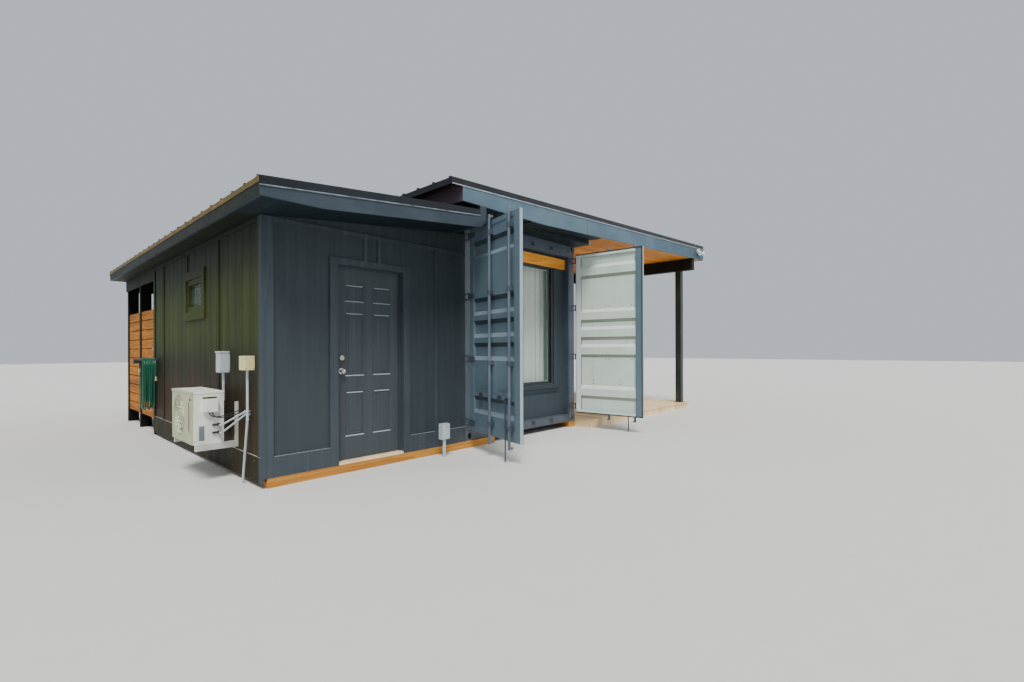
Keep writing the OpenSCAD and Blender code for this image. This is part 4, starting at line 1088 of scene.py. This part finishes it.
@dataclass
class Studio:
    """Pale floor and soft light.

    Attributes:
        reach: Half the floor's width.
    """

    reach: float = 60.0

    def build(self) -> None:
        """Makes the floor, the sky light and two large lamps."""
        floor = bpy.data.meshes.new("studio_floor")
        r = self.reach
        floor.from_pydata([(-r, -r, 0), (r, -r, 0), (r, r, 0), (-r, r, 0)], [], [(0, 1, 2, 3)])
        pale = Moulded(tone(214, 212, 206), tone(204, 202, 196), 0.2, 0.9)
        floor.materials.append(pale.build("studio_pale"))
        made = bpy.data.objects.new("studio_floor", floor)
        bpy.context.scene.collection.objects.link(made)
        world = bpy.data.worlds.new("studio_sky")
        bpy.context.scene.world = world
        world.use_nodes = True
        sky = world.node_tree.nodes["Background"]
        sky.inputs["Color"].default_value = tone(226, 234, 244)
        sky.inputs["Strength"].default_value = 0.75
        self._sun("key_light", (0.34, 0.42, -0.84), 3.4, 0.35)
        self._sun("fill_light", (-0.62, 0.55, -0.45), 0.7, 0.9)
        room = bpy.data.lights.new("room_light", "AREA")
        room.energy = 45.0
        room.size = 1.2
        made = bpy.data.objects.new("room_light", room)
        made.location = (1.2, 2.2, 2.85)
        made.visible_camera = False
        bpy.context.scene.collection.objects.link(made)

    def _sun(self, name: str, way: Triple, power: float, spread: float) -> None:
        """Makes one soft distant lamp that shines along a direction."""
        data = bpy.data.lights.new(name, "SUN")
        data.energy = power
        data.angle = spread
        made = bpy.data.objects.new(name, data)
        made.rotation_euler = Vector(way).to_track_quat("-Z", "Y").to_euler()
        bpy.context.scene.collection.objects.link(made)


def cord_curve(name: str, points: Sequence[Triple], bore: float, material: Material) -> bpy.types.Object:
    """A round cord along points, as a curve on the cabin.

    Args:
        name: Name of the piece.
        points: Its centre line.
        bore: Its diameter.
        material: Its finish.

    Returns:
        The curve's object.
    """
    data = bpy.data.curves.new(name, "CURVE")
    data.dimensions = "3D"
    data.bevel_depth = bore / 2
    data.bevel_resolution = 3
    data.use_fill_caps = True
    line = data.splines.new("POLY")
    line.points.add(len(points) - 1)
    for spot, point in zip(line.points, points):
        spot.co = (*point, 1.0)
    data.materials.append(material)
    made = bpy.data.objects.new(name, data)
    bpy.context.scene.collection.objects.link(made)
    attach(made, "cabin")
    return made


@dataclass
class GardenHose:
    """A garden hose in long loops over its hanger, with both ends hanging.

    Attributes:
        wall_x: X of the wall.
        middle_y: Y of the hanger.
        hanger_z: Height of the hanger.
        bore: Diameter of the hose.
        radius: Radius of a loop's round ends.
        straight: Straight run of each loop.
        low_radius: Radius of a loop's lower end.
        turns: Number of loops.
        near: Distance of the first loop from the wall.
        pitch: Distance of neighbouring loops.
        uneven: How much the loops differ in length.
        lean: How far a loop's lower end stands aside.
        rest: Height of the hanger's top above its middle.
        steps: Points of a loop.
        ends: Points of the two free ends beyond the loops.
    """

    wall_x: float = -2.476
    middle_y: float = 4.110
    hanger_z: float = 1.118
    bore: float = 0.018
    radius: float = 0.121
    straight: float = 0.500
    low_radius: float = 0.092
    turns: int = 8
    near: float = 0.042
    pitch: float = 0.0190
    uneven: float = 0.13
    lean: float = 0.022
    rest: float = 0.030
    steps: int = 40
    ends: tuple[int, int] = (9, 7)

    def _on_loop(self, share: float, x: float) -> Triple:
        """A point of a loop; share runs once round from the top."""
        turn = math.floor(share)
        drop = self.straight * (1 + self.uneven * math.sin(2.1 * turn + 0.7))
        lean = self.lean * math.sin(1.7 * turn + 0.4)
        upper, lower = math.pi / 2 * self.radius, math.pi * self.low_radius
        run = (share - turn) * (2 * upper + lower + 2 * drop)
        top = self.hanger_z + self.rest + self.bore / 2 - self.radius
        low, low_y = top - drop, self.middle_y + lean
        if run < upper:
            a = run / self.radius
            return (x, self.middle_y + self.radius * math.sin(a), top + self.radius * math.cos(a))
        run -= upper
        if run < drop:
            k = run / drop
            return (x, (self.middle_y + self.radius) * (1 - k) + (low_y + self.low_radius) * k, top - run)
        run -= drop
        if run < lower:
            a = run / self.low_radius
            return (x, low_y + self.low_radius * math.cos(a), low - self.low_radius * math.sin(a))
        run -= lower
        if run < drop:
            k = run / drop
            return (x, (low_y - self.low_radius) * (1 - k) + (self.middle_y - self.radius) * k, low + run)
        a = (run - drop) / self.radius
        return (x, self.middle_y - self.radius * math.cos(a), top + self.radius * math.sin(a))

    def route(self) -> list[Triple]:
        """Centre line from the first free end to the second."""
        before, after = self.ends
        points = []
        for i in range(-before, self.turns * self.steps + after):
            share = i / self.steps
            points.append(self._on_loop(share, self.wall_x - self.near - self.pitch * max(0.0, share)))
        return points

    def build(self, book: FinishBook) -> None:
        """Makes the hose and its end fittings."""
        points = self.route()
        hose = cord_curve("garden_hose", points, self.bore, book["hose"])
        start, end = Vector(points[0]), Vector(points[-1])
        first = (start - Vector(points[1])).normalized()
        last = (end - Vector(points[-2])).normalized()

        def couplings(work: Work) -> None:
            """Ribbed end fittings on both ends of the hose."""
            for spot, way in ((start, first), (end, last)):
                add_rod(work, spot - way * 0.012, spot + way * 0.02, 0.0125, 0.0125)
                add_rod(work, spot + way * 0.02, spot + way * 0.05, 0.0145, 0.0125, 12)

        ends = fit("hose_couplings", couplings, book["hose_end"])
        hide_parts("hose_loops")


@dataclass
class UnitLeads:
    """Two dark leads that hang from under the air conditioner's cover to the wall.

    Attributes:
        start: Where the upper lead leaves the cover.
        end: Where it goes into the wall.
        apart: Distance of the two leads.
        bore: Their diameter.
        drop: How far they are pulled down at their ends.
    """

    start: Triple = (-2.740, 0.628, 0.686)
    end: Triple = (-2.470, 0.520, 0.700)
    apart: float = 0.026
    bore: float = 0.009
    drop: float = 0.105

    def build(self, book: FinishBook) -> None:
        """Makes both leads."""
        for number, shift in enumerate((0.0, self.apart)):
            a = Vector(self.start) + Vector((shift, 0, 0))
            d = Vector(self.end) - Vector((0, 0, shift))
            b, c = a + Vector((0.0, 0.0, -self.drop)), d + Vector((-0.11, 0.0, -0.045))
            points = []
            for k in range(33):
                u = k / 32
                spot = a * (1 - u) ** 3 + b * (3 * u * (1 - u) ** 2) + c * (3 * u * u * (1 - u)) + d * u**3
                points.append(tuple(spot))
            name = "unit_lead_%d" % (number + 1)
            lead = cord_curve(name, points, self.bore, book["rubber"])


@dataclass
class WindowCurtain:
    """The drawn curtain behind the large window.

    Attributes:
        left: X of its left edge.
        middle_y: Y of its middle.
        bottom: Height of its lower hem.
        top: Height of its upper hem.
        width: Drawn width.
        folds: Number of folds.
        depth: Half depth of a fold.
        ring: Radius of a ring.
        wire: Radius of a ring's wire.
    """

    left: float = 1.369
    middle_y: float = 0.305
    bottom: float = 0.305
    top: float = 2.670
    width: float = 0.620
    folds: int = 6
    depth: float = 0.048
    ring: float = 0.0165
    wire: float = 0.0016

    def _offset(self, across: float, up: float) -> float:
        """Depth of the folds at a place of the cloth."""
        fold = math.sin(2 * math.pi * self.folds * across + 0.6 * math.sin(2.3 * math.pi * across))
        soft = 0.78 + 0.22 * math.sin(5.1 * across + 1.3 * up)
        return self.depth * fold * soft * (0.72 + 0.28 * (1 - up))

    def build(self, book: FinishBook) -> None:
        """Makes the cloth and its rings."""
        wide, tall = 360, 26
        rows: list[list[Triple]] = []
        for j in range(tall + 1):
            up = j / tall
            row = []
            for i in range(wide + 1):
                across = i / wide
                sway = 0.006 * math.sin(3.0 * up + 7.0 * across)
                x = self.left + self.width * across + sway
                z = self.bottom + (self.top - self.bottom) * up
                row.append((x, self.middle_y + self._offset(across, up), z))
            rows.append(row)
        middle = rows[tall // 2]
        flat_width = sum((Vector(a) - Vector(b)).length for a, b in zip(middle, middle[1:]))
        mesh = bpy.data.meshes.new("curtain_cloth")
        count = wide + 1
        faces = [
            (j * count + i, j * count + i + 1, (j + 1) * count + i + 1, (j + 1) * count + i)
            for j in range(tall)
            for i in range(wide)
        ]
        mesh.from_pydata([p for row in rows for p in row], [], faces)
        plan = mesh.uv_layers.new(name="plan")
        for loop in mesh.loops:
            j, i = divmod(loop.vertex_index, count)
            plan.data[loop.index].uv = (i / wide, j / tall * (self.top - self.bottom) / flat_width)
        cloth = settle("curtain_cloth", mesh, "cabin", book["curtain"], True)
        wall = cloth.modifiers.new("cloth", "SOLIDIFY")
        wall.thickness = 0.0012
        wall.offset = 0.0
        rod_z = self.top + 0.012

        def rings(work: Work) -> None:
            """Rings that carry the cloth on its rod."""
            for i in range(self.folds + 1):
                x = self.left + self.width * (i + 0.25) / (self.folds + 0.5)
                turns = [2 * math.pi * k / 24 for k in range(25)]
                spots = [
                    Vector((x, self.middle_y + self.ring * math.sin(a), rod_z + self.ring * math.cos(a)))
                    for a in turns
                ]
                for start, end in zip(spots, spots[1:]):
                    add_rod(work, start, end, self.wire, self.wire, 6)

        hoops = fit("curtain_rings", rings, book["nickel"])
        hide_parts("curtain")


@dataclass
class AnnexSkin:
    """Grooved boards on the annex's side, and the small things on its walls.

    Attributes:
        wall_x: X of the side wall.
        start: Y where the first board starts.
        low: Height of the boards' lower end.
        high: Height of their upper end.
        gap: Heights between which the boards leave the side window free.
        pitch: Spacing of the grooves.
        groove: Width of a groove.
        thick: Thickness of a board.
    """

    wall_x: float = -2.476
    start: float = 0.0915
    low: float = 0.284
    high: float = 2.476
    gap: Pair = (1.70, 2.20)
    pitch: float = 0.2032
    groove: float = 0.006
    thick: float = 0.007

    def build(self, grow: Growth, book: FinishBook) -> None:
        """Makes the boards, nails and a pale line along the base board's top, a painted highlight."""
        rows = []
        for skip, count, low, high in (
            (0, 8, self.low, self.high),
            (8, 4, self.low, self.gap[0]),
            (8, 4, self.gap[1], self.high),
            (12, 8, self.low, self.high),
        ):
            first = self.start + skip * self.pitch
            middle = (self.wall_x - self.thick / 2, first + self.pitch / 2, (low + high) / 2)
            size = (self.thick, self.pitch - self.groove, high - low)
            rows.append(grow.boards(count, middle, (0.0, self.pitch, 0.0), size, book["siding"]))
        settle("side_wall_boards", joined("side_wall_boards", rows), "cabin", book["siding"])
        nails = [((self.wall_x - 0.019, 0.16 + 0.305 * k, z), LEFT) for k in range(14) for z in (0.11, 0.24)]
        across = (-2.35, -2.1, -1.92, -0.72, -0.42, -0.1)
        nails += [((x, -0.019, z), FRONT) for x in across for z in (0.13, 0.25)]
        heads = grow.fasteners(nails, 0.006, 0.003, 8, book["bolt"])
        settle("base_board_nails", heads, "cabin", book["bolt"])
        # A pale strip on the base board's top edge: a painted highlight.
        line = boxes(((self.wall_x - 0.0195, 0.0, 0.2842), (self.wall_x - 0.0072, 4.267, 0.2872)))
        fit("base_board_highlight", line, book["ledge_highlight"])


@dataclass
class DoorPanels:
    """Sloped mouldings round the six panels of the front door.

    Attributes:
        corner: Lower left corner of the leaf's face in X and Z.
        face_y: Y of the face.
        height: Height of the leaf.
        stile: Width of its stiles.
        column: Width of a panel.
        rows: Lower and upper edge of the panels, as shares of the height.
        recess: Width of the recess round a panel's field.
        foot: Depth of the mouldings' front edge.
        back: Depth of their back.
    """

    corner: Pair = (-1.734, 0.120)
    face_y: float = 0.067
    height: float = 2.032
    stile: float = 0.105
    column: float = 0.227
    rows: tuple[Pair, ...] = ((0.118, 0.355), (0.433, 0.768), (0.822, 0.915))
    recess: float = 0.022
    foot: float = 0.0002
    back: float = 0.0066

    def _moulding(self, work: Work, low: Pair, high: Pair, section: Sequence[Pair]) -> None:
        """A closed moulding round a panel, from a section of insets and depths."""
        loops = []
        for inset, depth in section:
            x0, z0, x1, z1 = low[0] + inset, low[1] + inset, high[0] - inset, high[1] - inset
            y = self.face_y + depth
            loops.append([work.verts.new(p) for p in ((x0, y, z0), (x1, y, z0), (x1, y, z1), (x0, y, z1))])
        for first, second in zip(loops, loops[1:] + loops[:1]):
            add_ring(work, first, second)

    def build(self, book: FinishBook) -> None:
        """Makes the mouldings."""

        def mouldings(work: Work) -> None:
            """Two slopes round every panel."""
            field, run = self.recess, self.recess / 2 - 0.001
            sections = (
                ((0.0, self.foot), (run, self.back), (0.0, self.back)),
                ((field, self.foot), (field, self.back), (field - run, self.back)),
            )
            for row in self.rows:
                for column in (0, 1):
                    x = self.corner[0] + self.stile + column * (self.column + self.stile)
                    low = (x, self.corner[1] + row[0] * self.height)
                    high = (x + self.column, self.corner[1] + row[1] * self.height)
                    for section in sections:
                        self._moulding(work, low, high, section)

        fit("door_mouldings", mouldings, book["door"], "annex_leaf")


@dataclass
class CargoLeaves:
    """Bolts, bolt ends and gaskets on the two cargo door leaves.

    Attributes:
        low: Height of a leaf's lower edge.
        high: Height of its upper edge.
        edge: Distance of the hinge stile's edge from the pin.
        end: Distance of the free edge from the pin.
        inner: Depth of the inner face.
        head: Depth of the bolts' feet on the outer side.
        tail: Depth of the bolt ends on the inner side.
        bars: Distances of the two lock bars from the pin.
        guides: Heights of the bar guides, as shares of the leaf's height.
        straps: Heights of the hinge straps, as shares of the leaf's height.
    """

    low: float = 0.240
    high: float = 2.828
    edge: float = 0.022
    end: float = 1.177
    inner: float = 0.038
    head: float = -0.010
    tail: float = 0.0092
    bars: Pair = (0.582, 1.017)
    guides: tuple[float, ...] = (0.06, 0.34, 0.665, 0.94)
    straps: tuple[float, ...] = (0.04, 0.355, 0.665, 0.965)

    def _gasket(self, plan: LeafPlan, name: str, body: str, book: FinishBook) -> None:
        """Rubber strip round the inner face of a leaf."""

        def strip(work: Work) -> None:
            """Four flat strips in one closed ring."""
            a, b = self.edge + 0.004, self.end - 0.001
            z0, z1 = self.low + 0.001, self.high - 0.001
            w, d0, d1 = 0.016, self.inner, self.inner + 0.004
            for lo, hi in (
                ((a, z0), (b, z0 + w)),
                ((a, z1 - w), (b, z1)),
                ((a, z0 + w), (a + 0.006, z1 - w)),
                ((b - w, z0 + w), (b, z1 - w)),
            ):
                outline = [(lo[0], lo[1]), (hi[0], lo[1]), (hi[0], hi[1]), (lo[0], hi[1])]
                add_prism(work, outline, lambda s, z, d: plan.point(s, d, z), d0, d1)

        fit(name, strip, book["rubber"], body)

    def build(self, grow: Growth, book: FinishBook) -> None:
        """Makes the pieces on both leaves."""
        tall = self.high - self.low
        bolts = [
            (bar + s, self.low + share * tall + z)
            for share in self.guides
            for bar in self.bars
            for s in (-0.031, 0.031)
            for z in (-0.015, 0.015)
        ]
        bolts += [(s, self.low + share * tall) for share in self.straps for s in (0.05, 0.09, 0.13)]
        ends = [(s, self.low + share * tall) for share in self.guides[1:3] for s in (0.551, 0.613, 0.986)]
        ends += [(s, self.low + z) for s in (0.33, 0.80) for z in (0.49, 0.545)]
        for key, plan in LEAVES.items():
            body = key + "_leaf"
            self._gasket(plan, body + "_gasket", body, book)
            for name, spots, depth, side, sizes, finish in (
                ("_bolts", bolts, self.head, -1, (0.0065, 0.005, 6), "bolt"),
                ("_bolt_ends", ends, self.tail, 1, (0.009, 0.004, 10), "roof_steel"),
            ):
                places = [(plan.point(s, depth, up), plan.way(0, side)) for s, up in spots]
                heads = grow.fasteners(places, *sizes, book[finish])
                settle(body + name, heads, body, book[finish])


@dataclass
class LargeWindow:
    """Bright inner edge of the large window's sash.

    Attributes:
        low: Lower left corner of the glass in X and Z.
        high: Upper right corner of the glass in X and Z.
        depth: Y of the bead's front and back.
        wide: Width of the bead.
    """

    low: Pair = (0.547, 0.772)
    high: Pair = (1.891, 2.542)
    depth: Pair = (0.140, 0.1495)
    wide: float = 0.009

    def build(self, book: FinishBook) -> None:
        """Makes the glazing bead, a thin ring along the glass."""
        (x0, z0), (x1, z1), (y0, y1), w = self.low, self.high, self.depth, self.wide
        bead = boxes(
            ((x0, y0, z0), (x1, y1, z0 + w)),
            ((x0, y0, z1 - w), (x1, y1, z1)),
            ((x0, y0, z0 + w), (x0 + w, y1, z1 - w)),
            ((x1 - w, y0, z0 + w), (x1, y1, z1 - w)),
        )
        fit("glazing_bead", bead, book["hem"])


@dataclass
class RoofEdges:
    """Hems of the roof trims, pale as a painted highlight, screws on the ribs and litter at the low eave.

    Attributes:
        front_y: Y of both fascias.
        back_y: Y where the drip edge ends.
        trim: Height of the roof trim.
        annex: X of both ends of the annex's trim.
        main: X of both ends of the main roof's trim.
        first_rib: Y of the first roof rib.
        rib_step: Spacing of the ribs.
        ribs: Number of ribs.
    """

    front_y: float = -0.600
    back_y: float = 6.45
    trim: float = 0.071
    annex: Pair = (-2.716, -0.290)
    main: Pair = (-0.716, 6.424)
    first_rib: float = -0.559
    rib_step: float = 0.3025
    ribs: int = 23

    @staticmethod
    def annex_sheet(x: float) -> float:
        """Height of the annex roof sheet."""
        return 2.942 + 0.098 * x

    @staticmethod
    def main_sheet(x: float) -> float:
        """Height of the main roof sheet."""
        return 3.189 + 0.0456 * (x + 0.716)

    def build(self, grow: Growth, book: FinishBook) -> None:
        """Makes the pieces along the roof edges."""
        y = self.front_y - 0.004
        # The hems' pale finishes are a painted highlight along the trims' folded edges.
        for name, sheet, (x0, x1), key in (
            ("annex_trim_hem", self.annex_sheet, self.annex, "dull_hem"),
            ("main_trim_hem", self.main_sheet, self.main, "hem"),
        ):
            low, high = self.trim + 0.004, self.trim - 0.006
            z0, z1 = sheet(x0), sheet(x1)
            edge = [(x0, z0 - low), (x1, z1 - low), (x1, z1 - high), (x0, z0 - high)]

            def hem(work: Work, outline: Sequence[Pair] = tuple(edge)) -> None:
                """Folded edge under a roof trim, pale as a painted highlight."""
                add_prism(work, outline, lambda a, b, d: (a, d, b), y - 0.004, y + 0.0035)

            fit(name, hem, book[key])
        screws = [
            ((start + step * i, self.first_rib + self.rib_step * k, sheet(start + step * i) + 0.018), UP)
            for sheet, start, step, count in (
                (self.annex_sheet, -2.6, 0.6, 5),
                (self.main_sheet, -0.6, 0.75, 10),
            )
            for i in range(count)
            for k in range(self.ribs)
        ]
        heads = grow.fasteners(screws, 0.008, 0.006, 6, book["bolt"])
        settle("roof_screws", heads, "cabin", book["bolt"])
        eave = self.annex[0]
        top = self.annex_sheet(eave) - 0.001
        drip = boxes(((eave - 0.0065, y, top - 0.046), (eave - 0.0005, self.back_y, top)))
        fit("eave_drip_edge", drip, book["drip"])
        strip = bpy.data.meshes.new("eave_strip")
        x0, x1 = -2.712, -2.50
        corners = [(x0, -0.59), (x1, -0.59), (x1, 6.43), (x0, 6.43)]
        strip.from_pydata([(x, y, self.annex_sheet(x) + 0.002) for x, y in corners], [], [(0, 1, 2, 3)])
        values = {"Density": 700.0, "Length": 0.026, "Seed": 7, "Material": book["litter"]}
        settle("eave_litter", grow.run(grow.litter, strip, values), "cabin", book["litter"])


@dataclass
class Porch:
    """Boards of the porch ceiling and deck, and the joist end before the container.

    Attributes:
        left: X where the porch starts.
        right: X of its far end.
        front: Y of the ceiling's front edge.
        step: Y where the front strip ends.
        back: Y of the ceiling's back edge.
        height: Height of the ceiling at the roof's left end.
        slope: Rise of the ceiling over a metre.
        thick: Thickness of a ceiling board.
        gap: Gap between two of them.
    """

    left: float = 2.438
    right: float = 6.399
    front: float = -0.575
    step: float = -0.310
    back: float = 6.293
    height: float = 2.903
    slope: float = 0.0456
    thick: float = 0.006
    gap: float = 0.005

    def under(self, x: float) -> float:
        """Height of the ceiling."""
        return self.height + self.slope * (x + 0.716)

    def build(self, grow: Growth, book: FinishBook) -> None:
        """Makes the boards and the joist end."""
        rows = []
        for y0, y1, count in ((self.front, self.step, 2), (self.step, self.back, 47)):
            pitch = (y1 - y0) / count
            size = (self.right - self.left - 0.004, pitch - self.gap, self.thick)
            middle = ((self.left + self.right) / 2, y0 + pitch / 2, 0.0)
            rows.append(grow.boards(count, middle, (0.0, pitch, 0.0), size, book["cedar"]))
        ceiling = joined("ceiling_boards", rows)
        for vert in ceiling.vertices:
            vert.co.z += self.under(vert.co.x) - self.thick / 2 - 0.0005
        settle("ceiling_boards", ceiling, "cabin", book["cedar"])
        first, step, size = (2.5172, 2.859, 0.132), (0.1464, 0.0, 0.0), (0.1404, 6.398, 0.004)
        deck = grow.boards(26, first, step, size, book["deck"])
        settle("deck_boards", deck, "cabin", book["deck"])
        x0, x1 = self.left - 0.038, self.left - 0.001
        low, high = (x0, self.step - 0.008, 2.9745), (x1, self.step + 0.001, self.under(x0) - 0.0005)
        fit("joist_end", boxes((low, high, 0.001)), book["joist"])


@dataclass
class CoolingUnit:
    """Fittings of the air conditioner and covers of the boxes.

    Attributes:
        low: Lower corner of the unit.
        high: Upper corner of the unit.
        hub_y: Y of the fan's middle.
        hub_z: Height of the fan's middle.
    """

    low: Triple = (-2.876, 0.650, 0.372)
    high: Triple = (-2.606, 1.385, 0.872)
    hub_y: float = 1.125
    hub_z: float = 0.622

    def _dark(self, work: Work) -> None:
        """Near-black pieces painted as the shade inside the slot and the finger hole and behind the fan's
        grille.
        """
        (x0, y0, _), (x1, _, z1) = self.low, self.high
        add_box(work, (x0 + 0.086, y0 - 0.003, z1 - 0.062), (x1 - 0.062, y0 + 0.002, z1 - 0.048))
        hole = Vector((x0, y0 + 0.07, z1 - 0.07))
        add_rod(work, hole - Vector((0.003, 0, 0)), hole + Vector((0.002, 0, 0)), 0.016, 0.016)
        middle = Vector((x0 + 0.0302, self.hub_y, self.hub_z))
        add_rod(work, middle, middle - Vector((0.0012, 0, 0)), 0.205, 0.205, 48)

    def _valves(self, work: Work) -> None:
        """Valves of the two cooling lines."""
        for z in (self.low[2] + 0.103, self.low[2] + 0.178):
            spot = Vector((self.high[0] - 0.049, self.low[1], z))
            for start, end, r0, r1 in (
                ((0, 0, 0), (0, -0.030, 0), 0.017, 0.015),
                ((-0.02, -0.012, 0), (-0.055, -0.012, 0), 0.011, 0.009),
                ((0, -0.030, 0), (0, -0.046, 0), 0.0125, 0.0125),
            ):
                add_rod(work, spot + Vector(start), spot + Vector(end), r0, r1, 6)

    def build(self, grow: Growth, book: FinishBook) -> None:
        """Makes the pieces on and in the unit, and on the boxes."""
        (x0, y0, z0), (x1, y1, z1) = self.low, self.high
        lid = boxes(
            ((x0 - 0.006, y0 - 0.006, z1 - 0.016), (x1 + 0.004, y1 + 0.006, z1 + 0.006), 0.004),
            ((x0 + 0.10, y0 - 0.050, z1 - 0.190), (x1 - 0.064, y0 - 0.044, z1 - 0.068), 0.002),
        )
        worn = boxes(
            ((x0 - 0.002, y0 + 0.105, z0 + 0.12), (x0 + 0.001, y0 + 0.125, z1 - 0.10)),
            ((x0 - 0.002, y0 + 0.060, z0 + 0.10), (x0 + 0.001, y0 + 0.068, z1 - 0.13)),
        )
        slats = [
            ((x0 + 0.060, y0 - 0.0055, z), (x0 + 0.097, y0 - 0.0005, z + 0.006))
            for z in (z0 + 0.045 + 0.018 * k for k in range(7))
        ]
        plate = ((x0 + 0.055, y0 - 0.0025, z0 + 0.035), (x0 + 0.102, y0 + 0.001, z0 + 0.175), 0.001)
        fit("unit_lid", lid, book["unit"])
        # Painted shade in the unit's slot, finger hole and fan opening.
        fit("unit_slot_shade", self._dark, book["hole_shade"])
        fit("unit_worn_strips", worn, book["slit"])
        fit("unit_valves", self._valves, book["valve"])
        fit("unit_vent", boxes(plate, *slats), book["vent"])
        rows = (z0 + 0.03, z1 - 0.04)
        screws = [((x0 - 0.0005, y0 + 0.02 + dy, z), LEFT) for dy in (0.0, 0.695) for z in rows]
        for y, across, heights in (
            (y0, (x0 + 0.02, x1 - 0.02), rows),
            (0.176, (-2.56, -2.49), (1.105, 1.208)),
            (0.866, (-2.565, -2.487), (1.065, 1.245)),
        ):
            screws += [((x, y, z), FRONT) for x in across for z in heights]
        heads = grow.fasteners(screws, 0.0045, 0.002, 8, book["bolt"])
        settle("box_screws", heads, "cabin", book["bolt"])
        outlet = boxes(
            ((-0.547, -0.228, 0.222), (-0.443, -0.219, 0.384), 0.003),
            ((-0.515, -0.235, 0.365), (-0.475, -0.226, 0.377), 0.002),
        )
        near = boxes(((-2.574, 0.176, 1.089), (-2.480, 0.324, 1.224), 0.006))
        far = boxes(
            ((-2.580, 0.866, 1.046), (-2.490, 0.994, 1.264), 0.006),
            ((-2.586, 0.861, 1.250), (-2.486, 0.999, 1.268), 0.004),
        )
        fit("outlet_lid", outlet, book["box_grey"])
        fit("near_box_cover", near, book["box_beige"])
        fit("far_box_cover", far, book["box_grey"])


def write_sizes() -> None:
    """Updates the view layer."""
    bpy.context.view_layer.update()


def main() -> None:
    """Dresses the cabin, one sub-assembly after the other."""
    logging.basicConfig(level=logging.INFO)
    ViewPoint().build()
    Studio().build()
    book = FinishBook()
    book.build()
    GardenHose().build(book)
    UnitLeads().build(book)
    WindowCurtain().build(book)
    book.dress_frame()
    grow = Growth()
    AnnexSkin().build(grow, book)
    DoorPanels().build(book)
    CargoLeaves().build(grow, book)
    LargeWindow().build(book)
    RoofEdges().build(grow, book)
    Porch().build(grow, book)
    CoolingUnit().build(grow, book)
    write_sizes()


if __name__ == "__main__":
    main()
